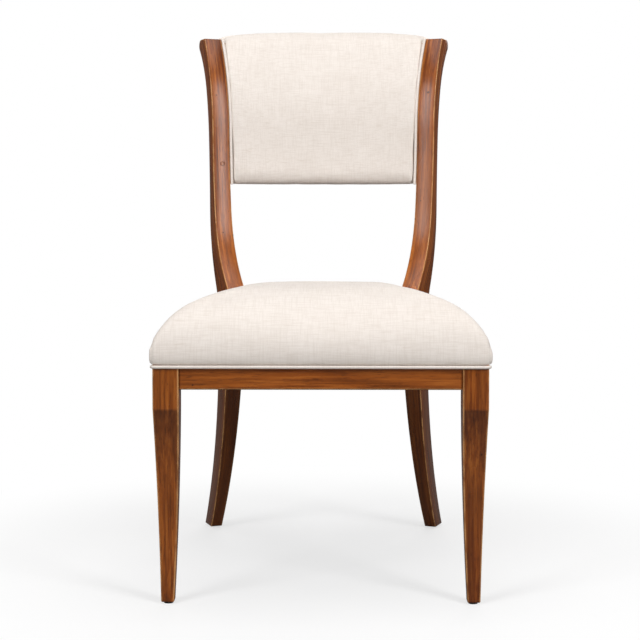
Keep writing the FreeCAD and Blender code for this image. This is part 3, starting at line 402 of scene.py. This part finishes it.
def on_stile(x, z):
    """The point of a stile's front face at one place across the chair and one height."""
    r, c, n = reach(FRONT_EDGE, z), math.cos(STILE_ANGLE), math.sin(STILE_ANGLE)
    aside = (abs(x) - r * n) / c
    return x, BACK_AXIS + FRONT + r * c - aside * n, z


# Dents: a point, its radius, and whether it is a ring, as a round tool leaves
STILE_DENTS = [
    (on_stile(-0.185, 0.682), 0.0042, True),
    (on_stile(-0.196, 0.808), 0.0016, False),
    (on_stile(-0.183, 0.556), 0.0014, False),
    (on_stile(-0.164, 0.551), 0.0026, False),
    (on_stile(0.193, 0.813), 0.0026, False),
    (on_stile(0.179, 0.614), 0.0014, False),
    (on_stile(0.168, 0.599), 0.0016, False),
    (on_stile(0.168, 0.581), 0.0016, False),
]
LEG_DENTS = [((0.2435, FRONT + 0.011, 0.23), 0.0022, False)]
UPRIGHT, LEVEL, DEEP = (1, 1, 0), (0, 1, 1), (1, 0, 1)
LEG_WOOD = stained_wood(
    "stained beech leg", UPRIGHT, dents=LEG_DENTS,
    # painted shade on the front legs: a little all over, deepest just under the knee
    painted_shade=[(0.0, 0.12), (0.2, 0.18), (0.27, 0.5), (0.298, 0.62), (0.3005, 0.12)],
)
STILE_WOOD = stained_wood(
    "stained beech stile", UPRIGHT, (math.cos(STILE_ANGLE), -math.sin(STILE_ANGLE), 0.0), STILE_DENTS,
    # painted shade on the rear legs below the seat, fading out above it
    painted_shade=[(0.0, 0.5), (0.36, 0.5), (0.44, 0.0)], bent=True,
)
RAIL_WOOD = stained_wood("stained beech rail", LEVEL, (0.0, 0.0, 1.0))
SIDE_RAIL_WOOD = stained_wood("stained beech side rail", DEEP, (0.0, 0.0, 1.0))
LINEN = linen()
BARE = plain_wood()
# Threads 2.4 and 1.6 mm apart
CANVAS = woven("brown jute webbing", "#a98f66", "#5f4a2e", 2.4 * MM)
DUST = woven("black dust cloth", "#26262a", "#0e0e10", 1.6 * MM)
# Bright zinc plating on steel screws: grey metal, faintly mottled by its crystals
ZINC = clouded("zinc plated steel", 800.0, "#a9a59a", "#cfccc2", {"Metallic": 1.0, "Roughness": 0.38})
# Injection moulded nylon: dark brown and matt, a little grainy
NYLON = clouded("brown nylon", 1500.0, "#1f1713", "#33271f", {"Roughness": 0.55, "IOR": 1.53})


# Legs: each is drawn out of a small square, ring by ring
def drawn_out(name, rings):
    """A bar through level rings of (middle, width, depth)."""
    middle, width, depth = rings[0]
    alone()
    bpy.ops.mesh.primitive_plane_add(size=1.0, location=middle)
    piece = bpy.context.object
    piece.name = name
    piece.scale = (width, depth, 1.0)
    settle(piece)
    bpy.ops.object.mode_set(mode="EDIT")
    bpy.ops.mesh.select_all(action="SELECT")
    for next_middle, next_width, next_depth in rings[1:]:
        bpy.ops.mesh.extrude_region_move(TRANSFORM_OT_translate={"value": next_middle - middle})
        bpy.ops.transform.resize(
            value=(next_width / width, next_depth / depth, 1.0), center_override=tuple(next_middle)
        )
        middle, width, depth = next_middle, next_width, next_depth
    outwards(piece)
    return piece


def through(a, b, c, z):
    """Depth at height z on the curve through three points, each (height, depth): nearly an arc."""
    (x0, y0), (x1, y1), (x2, y2) = a, b, c
    first = y0 * (z - x1) * (z - x2) / ((x0 - x1) * (x0 - x2))
    second = y1 * (z - x0) * (z - x2) / ((x1 - x0) * (x1 - x2))
    third = y2 * (z - x0) * (z - x1) / ((x2 - x0) * (x2 - x1))
    return first + second + third


def front_leg_ring(z):
    """Middle, width and depth of the front leg at one height, before its outer side is sloped."""
    front = outer = inner = 0.0
    back = BLOCK
    if z < KNEE:
        front = through((KNEE, 0.0), (0.110, 0.016), (0.0, 0.0107), z)
        back = through((KNEE, BLOCK), (0.165, 0.0406), (0.0, 0.0302), z)
        outer = through((KNEE, 0.0), (0.148, 0.0025), (0.0, 0.0083), z)
        inner = through((KNEE, 0.0), (0.150, 0.0034), (0.0, 0.0093), z)
    if z > COVER_FOOT + 0.001:  # cut back under the cushion
        front, outer = 0.004, 0.005
    left, right = SEAT_HALF - BLOCK + inner, SEAT_HALF - outer
    middle = Vector(((left + right) / 2.0, (front + back) / 2.0 + FRONT, z))
    return middle, right - left, back - front


# The stile's outer front corner at the rails' height. The seat's side runs in from the front leg to it.
RAIL_REACH = reach(FRONT_EDGE, RAIL_TOP)
STILE_X = RAIL_REACH * math.sin(STILE_ANGLE) + HALF_STILE * math.cos(STILE_ANGLE)
STILE_Y = BACK_AXIS + RAIL_REACH * math.cos(STILE_ANGLE) - HALF_STILE * math.sin(STILE_ANGLE)
SLOPE = (SEAT_HALF - STILE_X) / STILE_Y


def front_leg():
    heights = [GLIDE, 0.006, 0.012] + [0.02 + 0.0175 * i for i in range(16)]
    heights += [0.297, 0.2995, 0.3005, 0.303, 0.35, COVER_FOOT, COVER_FOOT + 0.002, RAIL_TOP]
    leg = drawn_out("front_leg_right", [front_leg_ring(z) for z in heights])
    bpy.ops.object.mode_set(mode="EDIT")
    bpy.ops.mesh.select_mode(type="VERT")
    # The outer side runs in towards the back, along the seat's side.
    for z in heights:
        middle, width, depth = front_leg_ring(z)
        for back in (0.0, 1.0):
            y = middle.y + depth * (back - 0.5)
            corner = Vector((middle.x + width / 2.0, y, z))
            bpy.ops.mesh.select_all(action="DESELECT")
            mesh = bmesh.from_edit_mesh(leg.data)
            for vertex in mesh.verts:
                vertex.select = (vertex.co - corner).length < 1e-5
            mesh.select_flush_mode()
            bpy.ops.transform.translate(value=(-(y - FRONT) * SLOPE, 0, 0))
    bpy.ops.object.mode_set(mode="OBJECT")
    finish_with(leg, "BEVEL", width=EASED, segments=3, limit_method="ANGLE", angle_limit=math.radians(40))
    smooth_sides(leg, 35)
    return leg


def stile_rear(z):
    """Reach of the stile's rear edge, rolled over to the top above its last arc."""
    high, lean = REAR_EDGE[2][-1]
    low, lean = high * MM, math.radians(lean)
    if z <= low:
        return reach(REAR_EDGE, z)
    roll = (STILE_TOP - low) / (1.0 + math.sin(lean))
    centre_r, centre_z = reach(REAR_EDGE, low) - roll * math.cos(lean), low + roll * math.sin(lean)
    return centre_r + math.sqrt(max(0.0, roll * roll - (z - centre_z) ** 2))


def rear_leg():
    """Leg and stile in one board, closest ringed where it bends most."""
    heights = [GLIDE + 0.011 * i for i in range(36)]
    heights += [RAIL_TOP + 0.006 * i for i in range(28)]
    heights += [0.57 + 0.0125 * i for i in range(26)]
    heights += [0.8925, 0.897, 0.9005, 0.904, 0.907, 0.9095, 0.9115, 0.913, 0.9142, STILE_TOP]
    rings = []
    for z in heights:
        front, rear = reach(FRONT_EDGE, z), stile_rear(z)
        width = 2.0 * HALF_STILE
        if z < FOOT_TAPER:
            width = FOOT_WIDTH + (width - FOOT_WIDTH) * z / FOOT_TAPER
        rings.append((Vector((0.0, BACK_AXIS + FRONT + (front + rear) / 2.0, z)), width, rear - front))
    leg = drawn_out("rear_leg_right", rings)
    finish_with(leg, "BEVEL", width=EASED, segments=3, limit_method="ANGLE", angle_limit=math.radians(50))
    toe_out(leg)
    smooth_sides(leg, 35)
    return leg


leg = front_leg()
dress(leg, ["front_leg_right"], LEG_WOOD)
dress(other_side(leg, "front_leg_left"), ["front_leg_left"], LEG_WOOD)
leg = rear_leg()
dress(leg, ["rear_leg_right"], STILE_WOOD)
dress(other_side(leg, "rear_leg_left"), ["rear_leg_left"], STILE_WOOD)

# Seat cushion: how it rises in from each edge, as (distance in, height) in millimetres
SIDE_SECTION = [
    (0, 388), (0.8, 396), (2.4, 404), (5, 411.5), (9, 419.5), (15, 429), (23, 440), (33, 450), (45, 459), (59, 466),
    (74, 471), (92, 475), (115, 478), (145, 479.8), (180, 480.4), (262, 481),
]
FRONT_SECTION = [
    (0, 386), (1, 396), (3, 406), (6, 415), (10.5, 424), (17, 434), (26, 444.5), (37, 454), (51, 463), (67, 470),
    (87, 475), (115, 478.5), (150, 480.3), (220, 481),
]
REAR_SECTION = [
    (0, 396), (3, 401), (8, 410), (16, 419), (26, 428), (36, 436), (49, 443.5), (70, 452), (95, 460), (133, 468),
    (200, 474.5), (300, 480),
]
FLAT = 481.0  # a height at which a section pulls nothing down
CROWN = 479.4
BLEND = 4.5
STILE_NOTCH = 0.0013  # the cushion's side stands this far outside the stile's corner
INSIDE_STILE = 0.010  # and behind it, this far inside the stile's middle plane


def seat_half_width(y):
    """Half the cushion's width: in to the stile's corner, then outwards inside the stile."""
    front_x, corner_x = SEAT_HALF + SIDE_OVERHANG, STILE_X + STILE_NOTCH
    if y <= STILE_Y:
        return front_x + (corner_x - front_x) * (y + FRONT_OVERHANG) / (STILE_Y + FRONT_OVERHANG)
    there = (y - BACK_AXIS) * math.tan(STILE_ANGLE) - INSIDE_STILE / math.cos(STILE_ANGLE)
    return max(corner_x - (y - STILE_Y) * 1.2, there) if there < corner_x else there


def seat_top(x, y):
    """Height of the crown: how far each side pulls the cloth down, added as high powers so that they blend."""
    half = seat_half_width(min(y, STILE_Y))
    rear = SEAT_REAR - math.hypot(x, y - BACK_AXIS) if y > BACK_AXIS else 1.0
    heights = [
        between(SIDE_SECTION, (half + x) / MM), between(SIDE_SECTION, (half - x) / MM),
        between(FRONT_SECTION, (y + FRONT_OVERHANG) / MM), between(REAR_SECTION, rear / MM),
    ]
    drop = sum(max(0.0, FLAT - height) ** BLEND for height in heights) ** (1.0 / BLEND)
    return (CROWN - drop) * MM


def seat_plan(u, v):
    """A point of the cushion's plan: u runs from side to side, v from front to rear."""
    y = -FRONT_OVERHANG + v * 0.5
    for _ in range(8):
        x = u * seat_half_width(y)
        rear = BACK_AXIS + math.sqrt(max(0.0, SEAT_REAR**2 - x * x))
        y = -FRONT_OVERHANG + v * (rear + FRONT_OVERHANG)
    x = u * seat_half_width(y)
    # The square grid's corner is drawn in to a round one.
    centre_x = SEAT_HALF + SIDE_OVERHANG - SEAT_CORNER - 0.002
    centre_y = SEAT_CORNER - FRONT_OVERHANG
    out, ahead = abs(x) - centre_x, centre_y - y
    if out > 0.0 and ahead > 0.0:
        share = max(out, ahead) / math.hypot(out, ahead)
        x = math.copysign(centre_x + out * share, x)
        y = centre_y - ahead * share
    return x, y


def seat_cushion():
    """A grid is pulled up into the crown, then its rim is let down over the rails and drawn in."""
    alone()
    bpy.ops.mesh.primitive_grid_add(x_subdivisions=96, y_subdivisions=92, size=2.0, location=(0, 0, 0))
    piece = bpy.context.object
    piece.name = "seat_cushion"
    for vertex in piece.data.vertices:
        x, y = seat_plan(vertex.co.x, (vertex.co.y + 1.0) / 2.0)
        vertex.co = (x, y + FRONT, seat_top(x, y))
    bpy.ops.object.mode_set(mode="EDIT")
    bpy.ops.mesh.select_mode(type="EDGE")
    bpy.ops.mesh.select_all(action="DESELECT")
    mesh = bmesh.from_edit_mesh(piece.data)
    for edge in mesh.edges:
        edge.select = edge.is_boundary
    mesh.select_flush_mode()
    bmesh.update_edit_mesh(piece.data)
    for level, draw in ((0.384, 1.0), (0.378, 0.999), (0.372, 0.9984), (0.3665, 0.9978), (COVER_FOOT - 0.0025, 0.997)):
        bpy.ops.mesh.extrude_region_move(TRANSFORM_OT_translate={"value": (0, 0, -0.001)})
        bpy.ops.transform.resize(value=(draw, draw, 0.0), center_override=(0.0, 0.2 + FRONT, level))
    bpy.ops.mesh.edge_face_add()
    outwards(piece)
    return piece


def puffed(piece, voxel, pressure, cap, held=lambda p: False):
    """Blow the piece up a little as cloth, except where it is held, and cap how far each point may move."""
    finish_with(piece, "REMESH", mode="VOXEL", voxel_size=voxel)
    before = [vertex.co.copy() for vertex in piece.data.vertices]
    group = piece.vertex_groups.new(name="held")
    group.add([vertex.index for vertex in piece.data.vertices if held(vertex.co)], 1.0, "REPLACE")
    pick(piece)
    cloth = piece.modifiers.new("Cloth", "CLOTH")
    cloth.settings.quality = 5
    cloth.settings.mass = 0.3
    cloth.settings.tension_stiffness = 20
    cloth.settings.compression_stiffness = 20
    cloth.settings.bending_stiffness = 2.0
    cloth.settings.vertex_group_mass = "held"
    cloth.settings.use_pressure = True
    cloth.settings.uniform_pressure_force = pressure
    cloth.settings.effector_weights.gravity = 0.0
    cloth.point_cache.frame_end = 16
    for number in range(1, cloth.point_cache.frame_end + 1):
        bpy.context.scene.frame_set(number)
    bpy.ops.object.modifier_apply(modifier=cloth.name)
    bpy.context.scene.frame_set(1)
    for vertex, start in zip(piece.data.vertices, before):
        move = vertex.co - start
        if move.length > cap:
            vertex.co = start + move * (cap / move.length)


def creases(piece, amount, held=lambda p: False):
    """Faint pulls and hollows, as tight cloth over foam shows in slanting light."""
    kept = [(vertex.co.copy(), vertex.normal.copy()) for vertex in piece.data.vertices]
    for vertex, (p, normal) in zip(piece.data.vertices, kept):
        if not held(p):
            broad = noise.noise(Vector((p.x * 14.0, p.y * 14.0, p.z * 18.0)))
            fine = noise.noise(Vector((p.x * 45.0, p.y * 38.0, p.z * 60.0 + 3.0)))
            vertex.co = p + normal * amount * (0.7 * broad + 0.3 * fine)


def corner_fold(piece):
    """The cloth is folded under itself down each front corner: a groove 1.4 mm deep that fades out upwards."""
    line = SEAT_HALF + SIDE_OVERHANG - 0.0075
    for vertex in piece.data.vertices:
        p = vertex.co
        if p.z <= 0.425 and p.y - FRONT <= 0.02:
            depth = math.exp(-(((abs(p.x) - line) / 0.0016) ** 2)) * smooth((0.425 - p.z) / 0.03)
            vertex.co = p + Vector((0.0, 0.0014 * depth, 0.0))


cushion = seat_cushion()
puffed(cushion, 0.0055, 3.0, 0.003, held=lambda p: p.z < 0.372)
finish_with(cushion, "SMOOTH", iterations=6, factor=0.5)
creases(cushion, 0.0007, held=lambda p: p.z < 0.368)
finish_with(cushion, "SUBSURF", levels=1, render_levels=1)
corner_fold(cushion)
smooth_sides(cushion, 60)
dress(cushion, ["seat_cover", "seat_wadding", "seat_foam"], LINEN)


# Back panel
def panel_section():
    """The panel's section from the foot of its back, under, up the front and over: reach, height, share of crown."""
    heel, toe = reach(FRONT_EDGE, 0.675), reach(FRONT_EDGE, 0.66)
    section = [(heel + 0.0215, 0.650, 0.0), (heel + 0.0215, 0.646, 0.0), (heel + 0.019, 0.6435, 0.0)]
    section += [(toe + 0.013, PANEL_BOTTOM, 0.25), (toe + 0.0075, 0.6435, 0.5)]
    section += [(toe + 0.0035, 0.6455, 0.72), (toe + 0.0013, 0.6495, 0.85)]
    proud = 0.0005
    for i in range(30):
        z = 0.655 + i * (PANEL_ROLL - 0.655) / 29.0
        section.append((reach(FRONT_EDGE, z) + proud, z, 0.88 + 0.12 * math.sin(math.pi * i / 29.0)))
    lean = math.radians(28.5)
    start = reach(FRONT_EDGE, PANEL_ROLL) + proud
    roll_r, roll_z = 0.030, (0.930 - PANEL_ROLL) / (1.0 - math.sin(lean))
    for i in range(1, 11):
        turn = lean + (math.pi / 2.0 - lean) * i / 10.0
        z = PANEL_ROLL + roll_z * (math.sin(turn) - math.sin(lean))
        r = start + roll_r * 1.35 * (math.cos(lean) - math.cos(turn))
        section.append((r, z, 0.88 * (1.0 - i / 10.0) + 0.15))
    r, z, _ = section[-1]
    return section + [(r + 0.006, z - 0.0004, 0.05), (r + 0.009, z - 0.003, 0.0)]


def back_line(z):
    """Reach of the back of the panel's frame: upright below, leaning above, and on past the top in the same line."""
    foot, top = reach(FRONT_EDGE, 0.6745) + 0.022, reach(FRONT_EDGE, 0.881) + 0.008
    points = [(0.6, foot), (0.702, foot), (0.8485, top - 0.0124 + 0.0127), (0.9015, top + 0.0124 + 0.0127)]
    low, high = points[-2], points[-1]
    if z > high[0]:
        return high[1] + (z - high[0]) * (high[1] - low[1]) / (high[0] - low[0])
    return between(points, z)


def corner_drop(t):
    """The top corners of the back are rounded off beside the stiles; t runs from -1 to 1 across it."""
    return 0.0095 * abs(t) ** 18


def near_top(z):
    """Share in which the top's own shape counts, from none to all."""
    return smooth((z - 0.86) / 0.06)


def back_pad():
    """The section is drawn as a flat loop, extruded across the chair in steps and swept round the back's axis."""
    section = panel_section()
    low, high = section[0][1], section[-1][1]
    for i in range(1, 24):
        z = high - (high - low) * i / 24.0
        section.append((back_line(z), z, 0.0))
    alone()
    bpy.ops.mesh.primitive_circle_add(vertices=len(section), radius=0.1, fill_type="NGON", location=(0, 0, 0))
    piece = bpy.context.object
    piece.name = "back_cushion"
    for vertex, (r, z, _) in zip(piece.data.vertices, section):
        vertex.co = (-1.0, r, z)
    bpy.ops.object.mode_set(mode="EDIT")
    bpy.ops.mesh.select_mode(type="FACE")
    bpy.ops.mesh.select_all(action="SELECT")
    steps = 64
    for _ in range(steps):
        bpy.ops.mesh.extrude_region_move(TRANSFORM_OT_translate={"value": (2.0 / steps, 0, 0)})
    bpy.ops.object.mode_set(mode="OBJECT")
    crown = {(round(r, 5), round(z, 5)): swell for r, z, swell in section}
    for vertex in piece.data.vertices:
        t, r, z = vertex.co
        swell = crown[min(crown, key=lambda at: abs(at[0] - r) + abs(at[1] - z))]
        sweep = STILE_ANGLE - math.asin(PANEL_SIDE / r)
        rise = (PANEL_TOP_END - 0.930) + (PANEL_TOP_MIDDLE - PANEL_TOP_END) * (1.0 - abs(t) ** 2.2) - corner_drop(t)
        z += rise * near_top(z)
        r -= 0.012 * swell * (1.0 - t * t)
        vertex.co = (r * math.sin(t * sweep), BACK_AXIS + FRONT + r * math.cos(t * sweep), z)
    outwards(piece)
    return piece


pad = back_pad()
puffed(pad, 0.005, 2.5, 0.0022)
finish_with(pad, "SMOOTH", iterations=5, factor=0.5)
creases(pad, 0.0006)
finish_with(pad, "SUBSURF", levels=1, render_levels=1)
smooth_sides(pad, 60)
dress(pad, ["back_cover", "back_foam"], LINEN)


# Piping: a round filling sewn into a strip of the same linen
def piping(name, points, thick, axis):
    """A disc is extruded from point to point and turned with the run; axis is the one that it turns about."""
    first, second = {"Z": (0, 1), "X": (1, 2)}[axis]

    def heading(i):
        run = points[min(i + 1, len(points) - 1)] - points[max(i - 1, 0)]
        return math.atan2(run[second], run[first])

    alone()
    facing = (0.0, math.pi / 2.0, 0.0) if axis == "Z" else (-math.pi / 2.0, 0.0, 0.0)
    bpy.ops.mesh.primitive_circle_add(vertices=14, radius=thick / 2.0, fill_type="NGON", rotation=facing)
    piece = bpy.context.object
    piece.name = name
    settle(piece)
    piece.matrix_world = Matrix.Translation(points[0]) @ Matrix.Rotation(heading(0), 4, axis)
    settle(piece)
    bpy.ops.object.mode_set(mode="EDIT")
    bpy.ops.mesh.select_all(action="SELECT")
    for i in range(1, len(points)):
        bpy.ops.mesh.extrude_region_move(TRANSFORM_OT_translate={"value": points[i] - points[i - 1]})
        angle = (heading(i) - heading(i - 1) + math.pi) % (2.0 * math.pi) - math.pi
        if abs(angle) > 1e-5:
            bpy.ops.transform.rotate(value=-angle, orient_axis=axis, center_override=tuple(points[i]))
    outwards(piece)
    # Hand sewing leaves it a little uneven.
    for vertex in piece.data.vertices:
        p = vertex.co.copy()
        vertex.co = p + Vector((0.0001, 0.0001, 0.0002)) * noise.noise(p * 160.0)
    smooth_sides(piece, 60)
    return piece


WELT_OUT = WELT / 2.0 + 0.0002  # the seat's piping runs this far outside the rails
WELT_LEVEL = COVER_FOOT - 0.0003 - WELT / 2.0


def beside_rail(along):
    """The piping's middle line outside the side rail, at one depth."""
    length = math.hypot(SLOPE, 1.0)
    x = SEAT_HALF + WELT_OUT / length - SLOPE * along
    return Vector((x, along + WELT_OUT * SLOPE / length, WELT_LEVEL))


def front_run():
    """From one stile forwards, round both front corners and back to the other stile."""
    radius, end = 0.007, beside_rail(STILE_Y - 0.0035)
    side = [end.lerp(beside_rail(radius), i / 24.0) for i in range(24)]
    centre = Vector((beside_rail(radius).x - radius, radius - WELT_OUT, WELT_LEVEL))
    for i in range(13):
        turn = math.pi / 2.0 * i / 12.0
        side.append(centre + Vector((radius * math.cos(turn), -radius * math.sin(turn), 0.0)))
    other = [Vector((-p.x, p.y, p.z)) for p in reversed(side)]
    return [Vector((p.x, p.y + FRONT, p.z)) for p in side + other]


def rear_run():
    """Along the rear rail, from stile to stile."""
    r = REAR_RAIL + WELT_OUT
    half = STILE_ANGLE - math.asin((HALF_STILE + 0.0003) / r)
    turns = [half * (i / 20.0 - 1.0) for i in range(41)]
    return [Vector((r * math.sin(turn), BACK_AXIS + FRONT + r * math.cos(turn), WELT_LEVEL)) for turn in turns]


def back_run():
    """Up beside the stile and over the top, before it is turned to the stile's angle."""
    x, depth = -HALF_STILE - 0.0007 - BACK_WELT / 2.0, BACK_AXIS + FRONT + 0.0017
    points = []
    for i in range(56):
        z = PANEL_BOTTOM + 0.0012 + (0.9058 - PANEL_BOTTOM) * i / 55.0
        points.append(Vector((x, depth + reach(FRONT_EDGE, z), z)))
    end, radius = points[-1], 0.007
    for i in range(1, 13):
        turn = math.pi * i / 12.0
        back = radius * (1.0 - math.cos(turn)) + 0.0015 * i / 12.0
        points.append(end + Vector((0.0, back, radius * math.sin(turn))))
    return points


dress(piping("seat_piping_front", front_run(), WELT, "Z"), ["seat_welt"], LINEN)
dress(piping("seat_piping_rear", rear_run(), WELT, "Z"), [], LINEN)
welt = piping("back_piping_right", back_run(), BACK_WELT, "X")
toe_out(welt)
dress(welt, ["back_welt_right"], LINEN)
dress(other_side(welt, "back_piping_left"), ["back_welt_left"], LINEN)


# Outside back and dust cloth: copies of the cut sheets, drawn tight
def copied(node, name):
    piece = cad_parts[node].copy()
    piece.data = piece.data.copy()
    piece.name = name
    bpy.context.scene.collection.objects.link(piece)
    piece.parent = None
    piece.matrix_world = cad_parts[node].matrix_world.copy()
    pick(piece)
    bpy.ops.object.mode_set(mode="EDIT")
    bpy.ops.mesh.select_all(action="SELECT")
    bpy.ops.mesh.remove_doubles(threshold=0.00002)
    bpy.ops.object.mode_set(mode="OBJECT")
    return piece


outside = copied("outside_back", "outside_back_linen")
for vertex in outside.data.vertices:
    x, y, z = vertex.co
    r = math.hypot(x, y - FRONT - BACK_AXIS)
    t = math.atan2(x, y - FRONT - BACK_AXIS) / (STILE_ANGLE - math.asin(PANEL_SIDE / r))
    vertex.co.z = z - corner_drop(min(1.0, abs(t))) * near_top(z)
smooth_sides(outside, 30)
dress(outside, ["outside_back"], LINEN)
dust = copied("dust_cover", "dust_cloth")
dress(dust, ["dust_cover"], DUST)

# Nodes that keep their own shape
for material, nodes in (
    (RAIL_WOOD, ["front_rail", "rear_rail"]),
    (SIDE_RAIL_WOOD, ["side_rail_right", "side_rail_left"]),
    (BARE, ["corner_block_front_right", "corner_block_front_left", "corner_block_rear_right"]),
    (BARE, ["corner_block_rear_left", "back_top_rail", "back_bottom_rail", "back_rail_dowels"]),
    (CANVAS, ["seat_webbing_lengthwise", "seat_webbing_crosswise", "back_webbing"]),
    (ZINC, ["corner_block_screws"]),
    (NYLON, ["leg_glides"]),
):
    for node in nodes:
        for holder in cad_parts[node].material_slots:
            holder.material = material


# Studio: pale floor and soft light
def paper_floor():
    """White paper, very slightly uneven. The camera sees it glow to pure white away from the chair, where the
    soft shadow has ended. To the lamps it is grey, so that it throws little light up under the seat."""
    alone()
    bpy.ops.mesh.primitive_plane_add(size=30.0, location=(0, 0, 0))
    floor = bpy.context.object
    floor.name = "floor"
    material, shader = new_material("white paper floor")
    seen = add(material, "LightPath").outputs["Is Camera Ray"]
    place = add(material, "TexCoord").outputs["Object"]
    paper = add(material, "TexNoise", {"Vector": place, "Scale": 3.0})
    paper = add(material, "ValToRGB", {0: paper}, [(0.3, hue("#f8f8f8")), (0.7, hue("#fbfbfb"))])
    colour = add(material, "Mix", {0: seen, 6: hue("#8c8c8c"), 7: paper}, data_type="RGBA")
    wire(material, shader, {"Base Color": colour, "Roughness": 1.0, "Specular IOR Level": 0.0})
    far = add(material, "VectorMath", {0: place}, operation="LENGTH")
    far = add(material, "Math", {0: far, 1: 2.0}, operation="DIVIDE")
    fade = add(material, "ValToRGB", {0: far}, [(0.17, 0.62), (0.44, 1.0)])
    fade.color_ramp.interpolation = "EASE"
    share = add(material, "Math", {0: seen, 1: fade}, operation="MULTIPLY")
    glow = add(material, "Emission", {"Color": (1, 1, 1, 1), "Strength": 1.0})
    mix = add(material, "MixShader", {0: share, 1: shader, 2: glow})
    wire(material, material.node_tree.nodes["Material Output"], {"Surface": mix})
    floor.data.materials.append(material)


def white_room():
    """An even white room: the camera sees it white, and it lights the chair only a little."""
    world = bpy.data.worlds.new("white studio")
    bpy.context.scene.world = world
    world.use_nodes = True
    world.node_tree.nodes.clear()
    seen = add(world, "LightPath").outputs["Is Camera Ray"]
    room = add(world, "Background", {"Color": (1, 1, 1, 1), "Strength": 0.14})
    white = add(world, "Background", {"Color": (1, 1, 1, 1), "Strength": 1.0})
    mix = add(world, "MixShader", {0: seen, 1: room, 2: white})
    add(world, "OutputWorld", {"Surface": mix})


def lamp(name, place, aim, width, height, power):
    light = bpy.data.lights.new(name, "AREA")
    light.shape = "RECTANGLE"
    light.size, light.size_y, light.energy = width, height, power
    holder = bpy.data.objects.new(name, light)
    bpy.context.scene.collection.objects.link(holder)
    holder.location = place
    holder.rotation_euler = (Vector(aim) - Vector(place)).to_track_quat("-Z", "Y").to_euler()


paper_floor()
white_room()
lamp("tall soft lamp right", (1.75, -2.0, 1.65), (0, 0, 0.6), 0.8, 1.8, 42)
lamp("tall soft lamp left", (-1.75, -2.0, 1.75), (0, 0, 0.6), 1.0, 1.6, 36)
lamp("soft lamp above", (0.0, -0.4, 2.9), (0, 0, 0.4), 2.2, 1.8, 29)
lamp("soft lamp behind", (0.4, 2.7, 1.9), (0, 0, 0.6), 2.0, 1.6, 28)

# The camera looks slightly down, and its shift keeps the legs nearly as upright as the photograph does.
view = bpy.data.cameras.new("camera")
camera = bpy.data.objects.new("camera", view)
bpy.context.scene.collection.objects.link(camera)
view.sensor_width, view.lens = 36.0, 84.15
view.shift_y = -0.0765
camera.location = (0.021, FRONT - 2.240, 0.612)
camera.rotation_euler = (math.radians(90.0 - 2.649), 0.0, math.radians(0.56))
bpy.context.scene.camera = camera
bpy.context.scene.view_settings.view_transform = "Standard"
